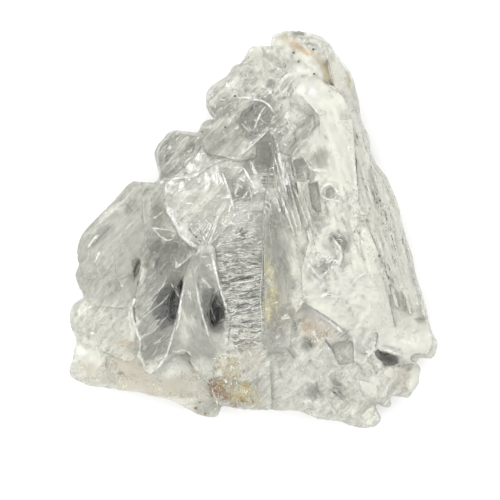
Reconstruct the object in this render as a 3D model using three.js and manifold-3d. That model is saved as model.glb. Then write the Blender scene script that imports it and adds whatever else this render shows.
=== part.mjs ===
// A broken blade of clear selenite: one natural crystal, lying on its flat cleavage face.
// Millimetres, +Z up. The long side runs along Y, and the broad, stepped break looks up.
import * as THREE from 'three';
import { mergeVertices } from 'three/addons/utils/BufferGeometryUtils.js';
import Module from 'manifold-3d';

const wasm = await Module();
wasm.setup();

// Driving dimensions. The outlines below are drawn in pixels, and LENGTH gives them their real size.
const LENGTH = 96;
const THICKNESS = 24;
const LEFT_PX = 68.5;
const RIGHT_PX = 438;
const TOP_PX = 31;
const BOTTOM_PX = 428.5;
const MM_PER_PX = LENGTH / (BOTTOM_PX - TOP_PX);
const MIDDLE_PX = [(LEFT_PX + RIGHT_PX) / 2, (TOP_PX + BOTTOM_PX) / 2];

// Every joined or cut solid reaches this far past the crystal, so that none ends in one of its faces.
const CLEAR = 4;
const SMALLEST_EDGE = 0.08;

// The crystal's own directions in the broad face, in degrees from +X: its length and its two breaks.
const LENGTH_ANGLE = 108;
const BREAK_ANGLE = 6;
const FEATHER_ANGLE = 50;

// Outline seen from above, clockwise from the notch beside the knob at the tip.
const OUTLINE_PX = [
  [272, 46], [270.5, 41], [272, 36], [276, 33], [284, 31.8], [299, 31], [312, 33], [322, 36.5],
  [328, 41], [333, 47], [336, 54], [341, 59], [347, 67], [352, 74], [354, 80], [356, 90],
  [359, 100], [360, 110], [361, 118], [364, 126], [368, 133], [370, 140], [371, 150], [374, 158],
  [377, 165], [380, 168], [386, 175], [390, 184], [395, 196], [400, 210], [402, 222], [407, 240],
  [413, 256], [416, 275], [420, 288], [425, 303], [429, 320], [432, 331], [436, 338], [438, 344],
  [437, 350], [434, 356], [431, 359], [425, 358], [420, 358], [417, 360], [416, 363], [420, 366],
  [421, 370], [419, 376], [419, 382], [417, 387], [413, 392], [410, 397], [407, 398.5], [401, 397],
  [391, 396], [391, 400], [392, 404], [390, 407.5], [386, 408], [381, 406], [377, 403.5], [375.5, 407],
  [378, 412], [382, 418], [380, 423], [375, 427], [366, 428.5], [357, 428], [350, 425.5], [340, 421.5],
  [330, 419.5], [316, 418], [308, 415], [299, 411], [286, 410.5], [260, 410], [245, 409], [230, 406.5],
  [222, 406], [220.5, 409], [219, 415], [215, 418.5], [207, 417.5], [198, 415], [190, 410.5], [182, 406],
  [174, 401], [164, 398], [149, 396], [141, 393], [128, 391.5], [113, 389], [98, 386.5], [85, 384],
  [76, 381], [70, 377], [68.5, 371], [70, 365], [73, 359], [73, 351], [76, 344], [76, 337], [72, 331],
  [69.5, 322], [70, 311], [73, 304], [78, 300], [84, 297], [81, 291], [77, 284], [74.5, 275],
  [77, 268], [79, 262], [76.5, 253], [77, 245], [80, 237], [86, 229], [98, 217], [110, 204],
  [122, 191], [128, 184.5], [134, 181], [141, 181.5], [149, 183], [155, 183], [158, 180], [159, 175],
  [157, 167], [154, 158], [153.5, 152], [157, 145], [163, 138], [168, 132], [173, 129], [183, 130.5],
  [192, 132], [198, 132.5], [200, 128], [202, 123], [206, 120.8], [212, 120], [214, 117], [213, 110],
  [209, 102], [206, 96], [206, 91], [210, 86], [216, 82], [225, 77], [229, 73], [231, 68],
  [235, 64.5], [241, 63], [243, 60], [246, 54], [250, 48], [255, 45.5], [264, 45.5],
];

// The broken rim, from the bottom up. Each ring follows the outline: its level, how far it reaches out as
// a share of the outline, and how much its edge strays in millimetres. Rings close together are ledges,
// where one cleavage sheet ends over the next.
const RIM = [
  { level: 0, reach: 0.94, stray: 0.9, phase: 0.4 },
  { level: 2.2, reach: 0.968, stray: 0.7, phase: 1.4 },
  { level: 5, reach: 0.983, stray: 0.5, phase: 2.4 },
  { level: 5.7, reach: 1, stray: 0, phase: 0 },
  { level: 9.6, reach: 1, stray: 0, phase: 0 },
  { level: 10.3, reach: 0.983, stray: 0.4, phase: 1.3 },
  { level: 14.6, reach: 0.97, stray: 0.5, phase: 1.8 },
  { level: THICKNESS + 1, reach: 0.95, stray: 0.6, phase: 1.6 },
];

// The faces of the broken top. Each is a block that ends in flat faces: height is a face's height in
// millimetres at the point at, or at the middle of the block, and slope is its rise along X and Y.
const BLOCKS = {
  ground: {
    outline: [[40, 10], [470, 10], [470, 450], [40, 450]],
    faces: [{ height: 8.5, slope: [0, 0] }],
  },
  left_block: {
    outline: [[133, 172], [163, 176], [168, 192], [160, 215], [156, 238], [152, 262], [150, 300],
      [124, 308], [60, 304], [66, 240]],
    faces: [
      { height: 14.4, slope: [0.05, 0.02] },
      { at: [107, 207], height: 8.2, slope: [0.62, -0.6] },
      { at: [76, 262], height: 8.4, slope: [0.85, -0.1] },
      { at: [140, 181], height: 9.2, slope: [0.1, -0.9] },
    ],
  },
  left_lobe: {
    outline: [[60, 296], [118, 298], [142, 304], [140, 332], [144, 350], [128, 362], [100, 350],
      [60, 346]],
    faces: [
      { height: 12.8, slope: [0.04, 0.06] },
      { at: [70, 316], height: 8, slope: [0.9, 0.1] },
    ],
  },
  left_corner: {
    outline: [[60, 338], [84, 334], [106, 352], [108, 366], [98, 384], [60, 388]],
    faces: [
      { height: 12, slope: [-0.05, 0.1] },
      { at: [70, 366], height: 7.4, slope: [0.9, 0.2] },
    ],
  },
  front_ledge: {
    outline: [[64, 356], [105, 350], [138, 348], [149, 372], [172, 350], [190, 350], [202, 374],
      [216, 386], [226, 402], [230, 430], [60, 430]],
    faces: [
      { at: [150, 360], height: 12.4, slope: [0, 0.12] },
      { at: [150, 396], height: 7.2, slope: [0.16, 0.62] },
      { at: [219, 412], height: 7.4, slope: [-0.9, 0.3] },
    ],
  },
  feathered_block: {
    outline: [[146, 120], [202, 124], [206, 140], [203, 166], [182, 182], [150, 190]],
    faces: [
      { height: 13.6, slope: [0.06, -0.04] },
      { at: [160, 141], height: 8.4, slope: [0.95, -0.6] },
      { at: [154, 160], height: 8.2, slope: [1, 0.2] },
    ],
  },
  left_middle: {
    outline: [[142, 178], [170, 180], [184, 214], [212, 240], [214, 256], [194, 280], [186, 318],
      [178, 352], [150, 376], [138, 352], [136, 300], [146, 250]],
    faces: [
      { height: 15.6, slope: [-0.03, -0.02] },
      { at: [160, 350], height: 13.8, slope: [0.1, 0.16] },
    ],
  },
  left_shoulder: {
    outline: [[196, 116], [204, 76], [240, 56], [262, 42], [280, 44], [288, 78], [264, 102],
      [226, 110], [216, 128], [200, 140]],
    faces: [
      { height: 16.8, slope: [0.05, -0.06] },
      { at: [208, 92], height: 8.6, slope: [0.8, -0.5] },
      { at: [238, 64], height: 8.8, slope: [0.7, -0.8] },
      { at: [262, 46], height: 9, slope: [0, -0.9] },
    ],
  },
  knob: {
    outline: [[266, 24], [336, 24], [346, 62], [342, 100], [322, 88], [302, 80], [284, 66], [270, 50]],
    faces: [
      { height: 18, slope: [0.03, -0.12] },
      { at: [298, 32], height: 9, slope: [0, -1.1] },
      { at: [272, 40], height: 8.8, slope: [1.1, 0] },
      { at: [332, 46], height: 9.4, slope: [-1, -0.5] },
    ],
  },
  upper_field: {
    outline: [[198, 128], [226, 106], [264, 98], [286, 74], [306, 76], [324, 128], [304, 166],
      [276, 156], [240, 162], [206, 154]],
    faces: [{ height: 18.2, slope: [0.04, 0] }],
  },
  shell_field: {
    outline: [[164, 184], [184, 168], [204, 146], [236, 148], [276, 146], [278, 208], [240, 212],
      [216, 240], [204, 254], [190, 244], [178, 232], [166, 206]],
    faces: [
      { height: 18.6, slope: [0.02, -0.03] },
      { at: [188, 170], height: 16.2, slope: [0.12, -0.35] },
    ],
  },
  long_shard: {
    outline: [[182, 282], [192, 258], [202, 246], [214, 244], [220, 280], [230, 318], [229, 346], [222, 374],
      [212, 386], [200, 374], [188, 350], [172, 350], [178, 318]],
    faces: [
      { at: [198, 300], height: 20, slope: [0.26, 0.04] },
      { at: [204, 320], height: 20, slope: [-0.32, 0] },
      { at: [205, 350], height: 16.8, slope: [0, 0.6] },
    ],
  },
  fibre_field: {
    outline: [[208, 244], [236, 204], [268, 204], [272, 418], [222, 418], [211, 386], [222, 346],
      [225, 318], [215, 280], [208, 252]],
    faces: [
      { height: 17.8, slope: [0.05, 0.02] },
      { at: [240, 395], height: 12.4, slope: [0, 0.4] },
    ],
  },
  smooth_strip: {
    outline: [[263.5, 204], [272, 150], [292, 158], [302, 215], [308, 242], [302, 270], [304, 300],
      [292, 320], [290, 352], [264.5, 352]],
    faces: [
      { height: 20.4, slope: [-0.06, 0.02] },
      { at: [278, 330], height: 18.4, slope: [0, 0.3] },
    ],
  },
  right_field: {
    outline: [[290, 156], [318, 126], [352, 120], [356, 200], [376, 252], [394, 327], [352, 338],
      [330, 318], [302, 302], [300, 270], [308, 242], [302, 215]],
    faces: [
      { height: 22.4, slope: [0.02, 0.03] },
      { at: [340, 288], height: 21, slope: [0.02, 0.4] },
    ],
  },
  dome_edge: {
    outline: [[300, 82], [322, 84], [340, 96], [350, 112], [354, 130], [354, 170], [352, 206],
      [338, 210], [322, 202], [330, 184], [310, 170], [304, 152], [318, 136], [318, 118], [302, 100]],
    faces: [
      { at: [328, 92], height: 20.6, slope: [-0.1, -0.5] },
      { at: [348, 150], height: 21.2, slope: [-0.4, 0] },
      { at: [320, 190], height: 22, slope: [0.1, 0.1] },
    ],
  },
  low_field: {
    outline: [[258, 336], [284, 336], [286, 296], [300, 292], [340, 310], [366, 322], [392, 330],
      [424, 350], [430, 400], [388, 436], [340, 436], [260, 420]],
    faces: [
      { at: [310, 340], height: 16.4, slope: [0.01, 0.08] },
      { at: [330, 412], height: 9.6, slope: [0.05, 0.52] },
      { at: [410, 384], height: 9.4, slope: [-0.55, 0.2] },
    ],
  },
  thumb: {
    outline: [[374, 348], [380, 324], [392, 306], [422, 304], [438, 328], [446, 348], [434, 364],
      [412, 361], [394, 356]],
    faces: [
      { height: 17.6, slope: [0, 0] },
      { at: [433, 342], height: 11, slope: [-0.8, 0.1] },
      { at: [416, 357], height: 13, slope: [-0.2, 0.8] },
      { at: [392, 330], height: 17.4, slope: [0.1, 0.1] },
    ],
  },
  upper_flank: {
    outline: [[320, 40], [326, 60], [334, 92], [346, 120], [352, 150], [400, 150], [380, 90],
      [344, 30]],
    faces: [
      { at: [340, 84], height: 17.6, slope: [0.02, -0.06] },
      { at: [346, 100], height: 16.6, slope: [-0.95, -0.36] },
    ],
  },
  flank: {
    outline: [[346, 112], [355, 160], [356, 200], [374, 250], [390, 316], [402, 318], [426, 318],
      [450, 330], [430, 250], [372, 112]],
    faces: [
      { at: [356, 180], height: 21, slope: [-0.66, -0.22] },
      { at: [372, 180], height: 18.2, slope: [-1.5, -0.5] },
      { at: [392, 296], height: 19.8, slope: [-0.4, 0.4] },
    ],
  },
};

// Rounded lumps: the half axes in pixels, the turn of the first from +X in degrees, the level of the
// widest part and how high the lump stands over it.
const LUMPS = [
  { middle: [334, 148], radii: [64, 22], turn: 96, level: 18, rise: 6 },
  { middle: [312, 98], radii: [20, 26], turn: 60, level: 17.6, rise: 4.8 },
  { middle: [308, 76], radii: [32, 21], turn: -20, level: 12, rise: 6.8 },
  { middle: [404, 340], radii: [40, 27], turn: 12, level: 10.5, rise: 7.4 },
  { middle: [300, 52], radii: [40, 28], turn: -14, level: 11, rise: 7.6 },
  { middle: [90, 318], radii: [26, 26], turn: 80, level: 8.2, rise: 5.2 },
  { middle: [90, 362], radii: [24, 32], turn: 40, level: 7.4, rise: 5 },
  { middle: [362, 412], radii: [32, 19], turn: -20, level: 8, rise: 3.8 },
  { middle: [400, 380], radii: [24, 26], turn: 80, level: 8, rise: 4.4 },
  { middle: [176, 156], radii: [32, 28], turn: 50, level: 8.2, rise: 6 },
  { middle: [232, 94], radii: [38, 27], turn: 50, level: 9, rise: 8 },
];
const LUMP_SIDES = 12;
const LUMP_RINGS = 8;

// Hollows broken into the top: a flat floor at this height, sloped as a face is.
const HOLLOWS = [
  { outline: [[242, 114], [262, 103], [271, 112], [269, 126], [252, 138], [240, 128]], floor: 16.2,
    slope: [0.12, 0.1] },
  { outline: [[256, 144], [272, 128], [274, 150], [272, 168], [256, 162]], floor: 17.2,
    slope: [-0.1, 0.1] },
  { outline: [[292, 162], [303, 160], [309, 172], [306, 183], [295, 181]], floor: 20.5, slope: [0.1, 0] },
  { outline: [[307, 186], [317, 182], [318, 200], [320, 214], [312, 210]], floor: 21.3,
    slope: [0.1, 0.05] },
  { outline: [[324, 192], [330, 188], [335, 193], [330, 199], [325, 198]], floor: 21.6, slope: [0, 0.1] },
  { outline: [[172, 292], [184, 276], [181, 300], [176, 322], [168, 312]], floor: 13.4, slope: [0.1, 0] },
  { outline: [[209, 312], [216, 292], [225, 308], [225, 320], [213, 328]], floor: 14, slope: [-0.1, 0] },
  { outline: [[374, 350], [386, 352], [396, 357], [397, 364], [388, 364], [376, 356]], floor: 12.2,
    slope: [0.1, 0] },
  { outline: [[330, 342], [352, 340], [352, 362], [338, 364]], floor: 14.8, slope: [0.05, 0.05] },
  { outline: [[134, 272], [138, 258], [142, 262], [138, 276], [135, 280]], floor: 11.8, slope: [0, 0] },
];

// Straight ribs: how many lie across the band from one point to the other, their direction, how long
// and wide each is, and how far it stands out.
const RIB_BANDS = [
  { from: [358, 140], to: [367, 137], count: 3, angle: LENGTH_ANGLE, length: 18, width: 1.1, lift: 0.45 },
  { from: [362, 212], to: [392, 204], count: 7, angle: LENGTH_ANGLE, length: 36, width: 1.2, lift: 0.3 },
  { from: [388, 284], to: [418, 276], count: 7, angle: LENGTH_ANGLE, length: 26, width: 1.1, lift: 0.3 },
  { from: [242, 254], to: [246, 344], count: 15, angle: BREAK_ANGLE, length: 10, width: 0.6, lift: 0.28 },
  { from: [162, 146], to: [184, 166], count: 6, angle: FEATHER_ANGLE, length: 8, width: 0.8, lift: 0.4 },
  { from: [276, 200], to: [304, 206], count: 6, angle: LENGTH_ANGLE, length: 17, width: 0.7, lift: 0.5 },
  { from: [140, 330], to: [160, 344], count: 5, angle: FEATHER_ANGLE, length: 9, width: 0.8, lift: 0.4 },
  { from: [300, 396], to: [348, 404], count: 5, angle: 128, length: 9, width: 1, lift: 0.4 },
];

// Thin cleavage flakes left standing on the break: how many, in which oval of the top, and how large.
const FLAKE_PATCHES = [
  { middle: [290, 112], reach: [26, 22], count: 7, size: [3, 7] },
  { middle: [110, 250], reach: [24, 34], count: 5, size: [4, 8] },
  { middle: [108, 324], reach: [26, 20], count: 4, size: [4, 7] },
  { middle: [234, 82], reach: [18, 16], count: 3, size: [3, 6] },
  { middle: [330, 376], reach: [50, 28], count: 9, size: [3, 7] },
  { middle: [394, 378], reach: [16, 12], count: 5, size: [2.5, 5] },
  { middle: [300, 62], reach: [20, 16], count: 3, size: [3, 6] },
];
const FLAKE_LIFT = [0.2, 0.8];
const FLAKE_TILT = 0.12;
const FLAKE_SEED = 41;

// Crests where two breaks meet: the line each follows, how wide it is at its foot and how high.
const CRESTS = [
  { line: [[167, 203], [173, 216], [179, 229], [188, 240], [202, 249]], width: 1.7, lift: 0.8 },
  { line: [[227, 204], [219, 216], [212, 230], [205, 247]], width: 1.4, lift: 0.6 },
  { line: [[201, 249], [190, 257], [177, 268], [173, 257]], width: 1.1, lift: 0.6 },
  { line: [[152, 228], [160, 235], [169, 240], [177, 236]], width: 1, lift: 0.5 },
  { line: [[160, 176], [174, 181], [188, 177], [199, 175], [208, 167], [222, 160], [238, 160]], width: 1.1,
    lift: 0.5 },
  { line: [[222, 172], [228, 188], [233, 207]], width: 1.1, lift: 0.5 },
  { line: [[243, 168], [250, 180], [257, 189]], width: 1.2, lift: 0.6 },
  { line: [[275, 140], [279, 160], [284, 185], [291, 212]], width: 1.2, lift: 0.6 },
  { line: [[283, 165], [290, 188], [297, 212], [302, 230]], width: 1, lift: 0.5 },
  { line: [[272, 129], [260, 139], [250, 149], [239, 158]], width: 1, lift: 0.5 },
  { line: [[300, 155], [305, 164], [312, 171], [328, 173]], width: 1.2, lift: 0.6 },
  { line: [[309, 185], [318, 192], [323, 199], [338, 202]], width: 1.1, lift: 0.5 },
  { line: [[318, 192], [328, 185], [337, 197], [343, 208]], width: 1.1, lift: 0.5 },
  { line: [[346, 182], [355, 192], [349, 205], [357, 214], [366, 216]], width: 1.5, lift: 0.6 },
  { line: [[330, 236], [336, 244], [340, 252], [338, 265]], width: 1.3, lift: 0.7 },
  { line: [[309, 265], [314, 272], [321, 278], [334, 266]], width: 1.2, lift: 0.6 },
  { line: [[350, 284], [358, 275], [367, 272]], width: 1.2, lift: 0.5 },
  { line: [[342, 232], [351, 237], [357, 246], [358, 256]], width: 1.2, lift: 0.5 },
  { line: [[316, 298], [326, 294], [338, 297], [346, 306]], width: 1.2, lift: 0.5 },
  { line: [[132, 304], [134, 318], [139, 335], [140, 354], [148, 372]], width: 1.3, lift: 0.6 },
  { line: [[172, 350], [186, 350], [192, 356], [200, 374], [212, 385]], width: 1.2, lift: 0.6 },
  { line: [[243, 96], [242, 84], [250, 79], [260, 79]], width: 1, lift: 0.4 },
  { line: [[264, 88], [270, 95], [276, 101], [280, 116]], width: 1, lift: 0.4 },
  { line: [[362, 360], [369, 352], [376, 345]], width: 1.2, lift: 0.6 },
  { line: [[378, 348], [394, 352], [412, 357]], width: 1.3, lift: 0.6 },
];

// A repeatable stream of numbers from 0 to 1.
function stream(seed) {
  let state = seed >>> 0;
  return () => {
    state = (Math.imul(state, 1664525) + 1013904223) >>> 0;
    return state / 4294967296;
  };
}

function place([x, y]) {
  return new THREE.Vector2((x - MIDDLE_PX[0]) * MM_PER_PX, (MIDDLE_PX[1] - y) * MM_PER_PX);
}

function middleOf(points) {
  return points.reduce((sum, p) => sum.add(p), new THREE.Vector2()).divideScalar(points.length);
}

// A plane as a function that gives its height over a point.
function plane(height, slope, at) {
  return (x, y) => height + slope[0] * (x - at.x) + slope[1] * (y - at.y);
}

function solidFrom(geometry) {
  const bare = new THREE.BufferGeometry().setAttribute('position', geometry.getAttribute('position'));
  const closed = mergeVertices(geometry.index ? bare.setIndex(geometry.index) : bare);
  return new wasm.Manifold(new wasm.Mesh({
    numProp: 3,
    vertProperties: closed.attributes.position.array,
    triVerts: new Uint32Array(closed.index.array),
  }));
}

// An upright prism over an outline, between two planes.
function prism(points, floor, top) {
  const geometry = new THREE.ExtrudeGeometry(new THREE.Shape(points), { depth: 1, bevelEnabled: false });
  const position = geometry.attributes.position;
  for (let i = 0; i < position.count; i += 1) {
    const limit = position.getZ(i) > 0.5 ? top : floor;
    position.setZ(i, limit(position.getX(i), position.getY(i)));
  }
  return solidFrom(geometry);
}

const below = () => -CLEAR;
const above = () => THICKNESS + CLEAR;

// One ring of the rim: the outline drawn in towards the middle, with a straying edge.
function ring(outline, { level, reach, stray, phase }) {
  return outline.map(({ x, y }) => new THREE.Vector3(
    x * reach + stray * (Math.sin(0.31 * y + phase) + 0.5 * Math.sin(0.83 * x + 2 * phase)) / 1.5,
    y * reach + stray * (Math.sin(0.29 * x + phase) + 0.5 * Math.sin(0.77 * y - phase)) / 1.5,
    level,
  ));
}

// The sides, from ring to ring, closed by a flat face at the bottom and one at the top.
function sides() {
  const outline = OUTLINE_PX.map(place).reverse();
  const rings = RIM.map((data) => ring(outline, data));
  const count = outline.length;
  const index = [];
  for (let r = 0; r + 1 < rings.length; r += 1) {
    for (let i = 0; i < count; i += 1) {
      const [a, b] = [r * count + i, r * count + (i + 1) % count];
      index.push(a, b, b + count, a, b + count, a + count);
    }
  }
  const last = (rings.length - 1) * count;
  THREE.ShapeUtils.triangulateShape(rings[0], []).forEach(([a, b, c]) => index.push(a, c, b));
  THREE.ShapeUtils.triangulateShape(rings.at(-1), [])
    .forEach(([a, b, c]) => index.push(last + a, last + b, last + c));
  return solidFrom(new THREE.BufferGeometry().setFromPoints(rings.flat()).setIndex(index));
}

function facesOf({ outline, faces }) {
  const middle = middleOf(outline.map(place));
  return faces.map(({ at, height, slope }) => plane(height, slope, at ? place(at) : middle));
}

function block(data) {
  const points = data.outline.map(place);
  return facesOf(data).map((face) => prism(points, below, (x, y) => Math.max(face(x, y), 1 - CLEAR)))
    .reduce((a, b) => a.intersect(b));
}

function isInside(points, x, y) {
  let inside = false;
  points.forEach((a, i) => {
    const b = points[(i + 1) % points.length];
    if ((a.y > y) !== (b.y > y) && x < a.x + ((b.x - a.x) * (y - a.y)) / (b.y - a.y)) inside = !inside;
  });
  return inside;
}

// The height and slope of the broken top over a point, from the blocks alone.
function topAt(point) {
  let best = { height: 0, face: null };
  Object.values(BLOCKS).forEach((data) => {
    if (!isInside(data.outline.map(place), point.x, point.y)) return;
    const low = facesOf(data)
      .map((face) => ({ height: face(point.x, point.y), face }))
      .reduce((a, b) => (a.height < b.height ? a : b));
    if (low.height > best.height) best = low;
  });
  return best;
}

function direction(degrees) {
  const angle = THREE.MathUtils.degToRad(degrees);
  return new THREE.Vector2(Math.cos(angle), Math.sin(angle));
}

// A raised rib with a sharp crest, as two sloping halves that lie on the face below it.
function rib(middle, angle, length, width, lift) {
  const along = direction(angle);
  const across = new THREE.Vector2(-along.y, along.x);
  const { face } = topAt(middle);
  const corner = (u, v) => middle.clone().addScaledVector(along, u * length / 2)
    .addScaledVector(across, v * width / 2);
  const half = (side) => prism(
    side > 0 ? [corner(-1, 0), corner(0.8, 0), corner(1, 1), corner(-0.9, 1)]
      : [corner(-1, 0), corner(-0.8, -1), corner(0.9, -1), corner(0.8, 0)],
    below,
    (x, y) => {
      const off = Math.abs((x - middle.x) * across.x + (y - middle.y) * across.y) / (width / 2);
      return face(x, y) + lift * (1 - 1.4 * off);
    },
  );
  return half(1).add(half(-1));
}

// A crest runs along its line as one rib for each stretch, a little over the next one at the bends.
function crest({ line, width, lift }) {
  const points = line.map(place);
  return points.slice(1).map((end, i) => {
    const start = points[i];
    const run = end.clone().sub(start);
    const angle = THREE.MathUtils.radToDeg(run.angle());
    return rib(start.clone().lerp(end, 0.5), angle, run.length() + 0.5 * width, width, lift);
  });
}

function ribs() {
  const random = stream(FLAKE_SEED + 7);
  return RIB_BANDS.flatMap(({ from, to, count, angle, length, width, lift }) => {
    const [start, end] = [place(from), place(to)];
    return Array.from({ length: count }, (_, i) => {
      const middle = start.clone().lerp(end, (i + 0.4 * random()) / (count - 1));
      middle.addScaledVector(direction(angle), (random() - 0.5) * 0.4 * length);
      return rib(middle, angle + 7 * (random() - 0.5), length * (0.45 + 0.55 * random()), width, lift);
    });
  });
}

// A flake is a thin plate with edges along the crystal's own directions and one corner broken off.
function flake(random, middle, size) {
  const { height, face } = topAt(middle);
  if (!face || height < 9) return null;
  const along = direction(LENGTH_ANGLE + 14 * (random() - 0.5));
  along.multiplyScalar(size * (0.5 + 0.5 * random()));
  const over = direction(BREAK_ANGLE + 30 * (random() - 0.5));
  over.multiplyScalar(size * (0.3 + 0.4 * random()));
  const cut = 0.3 + 0.4 * random();
  const corner = (u, v) => middle.clone().addScaledVector(along, u / 2).addScaledVector(over, v / 2);
  const points = [corner(-1, -1), corner(-0.8, 1), corner(cut, 1), corner(1, -cut), corner(0.7, -1)];
  const lift = FLAKE_LIFT[0] + (FLAKE_LIFT[1] - FLAKE_LIFT[0]) * random() ** 2;
  const tilt = [FLAKE_TILT * (random() - 0.5) * 2, FLAKE_TILT * (random() - 0.5) * 2];
  const step = plane(lift, tilt, middle);
  const ordered = THREE.ShapeUtils.isClockWise(points) ? points.reverse() : points;
  return prism(ordered, below, (x, y) => Math.min(face(x, y) + step(x, y), THICKNESS));
}

function flakes() {
  const random = stream(FLAKE_SEED);
  return FLAKE_PATCHES.flatMap(({ middle, reach, count, size }) => Array.from({ length: count }, () => {
    const angle = 2 * Math.PI * random();
    const out = Math.sqrt(random());
    const at = place([
      middle[0] + reach[0] * out * Math.cos(angle),
      middle[1] + reach[1] * out * Math.sin(angle),
    ]);
    return flake(random, at, size[0] + (size[1] - size[0]) * random());
  })).filter(Boolean);
}

// A lump is a dome on a straight column, so that it leaves no hollow under it.
function lump({ middle, radii, turn, level, rise }) {
  const at = place(middle);
  const geometry = new THREE.SphereGeometry(1, LUMP_SIDES, LUMP_RINGS).rotateX(Math.PI / 2);
  const position = geometry.attributes.position;
  const column = new THREE.Vector3();
  for (let i = 0; i < position.count; i += 1) {
    column.fromBufferAttribute(position, i);
    const out = Math.hypot(column.x, column.y);
    if (column.z < -0.01) {
      const widen = out > 0.01 ? 1 / out : 1;
      position.setXYZ(i, column.x * widen, column.y * widen, (column.z * (level + 2 * CLEAR)) / rise);
    }
  }
  geometry.scale(radii[0] * MM_PER_PX, radii[1] * MM_PER_PX, rise)
    .rotateZ(THREE.MathUtils.degToRad(turn))
    .translate(at.x, at.y, level);
  return solidFrom(geometry);
}

function hollow({ outline, floor, slope }) {
  const points = outline.map(place);
  return prism(points, plane(floor, slope, middleOf(points)), above);
}

function meshFrom(solid, name, material) {
  const { vertProperties, triVerts } = solid.getMesh();
  const geometry = new THREE.BufferGeometry()
    .setAttribute('position', new THREE.BufferAttribute(new Float32Array(vertProperties), 3))
    .setIndex(new THREE.BufferAttribute(new Uint32Array(triVerts), 1));
  geometry.computeVertexNormals();
  const mesh = new THREE.Mesh(geometry, material);
  mesh.name = name;
  return mesh;
}

function crystal() {
  const top = [
    ...Object.values(BLOCKS).map(block),
    ...LUMPS.map(lump),
    ...ribs(),
    ...CRESTS.flatMap(crest),
    ...flakes(),
  ].reduce((a, b) => a.add(b));
  const whole = HOLLOWS.map(hollow).reduce((a, b) => a.subtract(b), top);
  const bodies = sides().intersect(whole).simplify(SMALLEST_EDGE).decompose();
  return bodies.reduce((a, b) => (a.volume() > b.volume() ? a : b));
}

const selenite = new THREE.MeshStandardMaterial({
  color: 0xd2d4c8,
  roughness: 0.18,
  metalness: 0,
  flatShading: true,
});

const blade = new THREE.Group();
blade.name = 'selenite_blade';
blade.add(meshFrom(crystal(), 'crystal', selenite));

export default blade;
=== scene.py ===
"""The looks of a broken blade of clear selenite that lies on its flat cleavage face.

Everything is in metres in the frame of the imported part: +Z up, +Y towards the narrow tip and +X
towards the long sloping flank. Places on the crystal are written in pixels of the 500 x 500 view from
straight above, and place() turns them into metres.
"""

import math
import random

import bmesh
import bpy
import numpy as np
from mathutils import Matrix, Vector, noise
from mathutils.bvhtree import BVHTree


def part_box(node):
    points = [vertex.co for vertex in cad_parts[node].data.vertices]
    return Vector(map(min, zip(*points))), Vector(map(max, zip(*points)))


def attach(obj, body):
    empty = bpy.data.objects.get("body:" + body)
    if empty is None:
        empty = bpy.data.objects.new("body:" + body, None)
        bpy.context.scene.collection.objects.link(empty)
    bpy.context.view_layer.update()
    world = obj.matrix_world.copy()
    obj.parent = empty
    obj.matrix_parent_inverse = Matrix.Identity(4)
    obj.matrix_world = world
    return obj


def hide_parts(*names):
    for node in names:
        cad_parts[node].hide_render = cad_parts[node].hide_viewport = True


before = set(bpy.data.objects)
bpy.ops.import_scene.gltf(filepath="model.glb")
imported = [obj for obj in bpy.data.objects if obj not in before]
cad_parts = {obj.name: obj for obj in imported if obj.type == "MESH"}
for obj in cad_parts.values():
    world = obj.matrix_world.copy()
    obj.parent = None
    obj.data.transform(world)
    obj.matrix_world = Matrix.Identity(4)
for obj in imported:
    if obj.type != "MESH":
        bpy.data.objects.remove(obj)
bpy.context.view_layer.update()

NODE = "crystal"
LOW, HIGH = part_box(NODE)
VIEW_SIDE_PX = 500
TOP_PX = 31.0
BOTTOM_PX = 428.5
LEFT_PX = 66.0
RIGHT_PX = 440.0
MIDDLE_PX = (253.25, 229.75)
PX = (HIGH.y - LOW.y) / (BOTTOM_PX - TOP_PX)
MM = 0.001

# The crystal's own directions seen from above, in degrees from +X.
LENGTH_ANGLE = 108
FEATHER_ANGLE = 48
BREAK_ANGLE = 6

rng = random.Random(2577)


def place(px, py):
    """The point of the view from above at this pixel, in metres."""
    return (px - MIDDLE_PX[0]) * PX, (MIDDLE_PX[1] - py) * PX


def smooth(value):
    t = np.clip(value, 0.0, 1.0)
    return t * t * (3 - 2 * t)


def noise_at(x, y, z):
    return noise.noise(Vector((x, y, z)))


def direction(angle):
    """The cosine and sine of an angle in degrees."""
    return math.cos(math.radians(angle)), math.sin(math.radians(angle))


# The crystal's body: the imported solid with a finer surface.

LONGEST_EDGE = 0.8 * MM
LONGEST_WALL_EDGE = 1.1 * MM
REST_LEVEL = 0.05 * MM
WELD_DISTANCE = 0.002 * MM
SPLITTING_ROUNDS = 8
SMOOTHING_ROUNDS = 3
TOP_FACING = 0.35
FLANK_EDGE_X = (334, 352, 356, 374, 390)
FLANK_EDGE_Y = (60, 120, 200, 250, 322)


def on_flank(px, py):
    """1 on the long striated flank at the right, 0 elsewhere, with a short blend."""
    edge = np.interp(py, FLANK_EDGE_Y, FLANK_EDGE_X, left=RIGHT_PX + 9, right=RIGHT_PX + 9)
    return smooth((px - edge) / 5)


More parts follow.
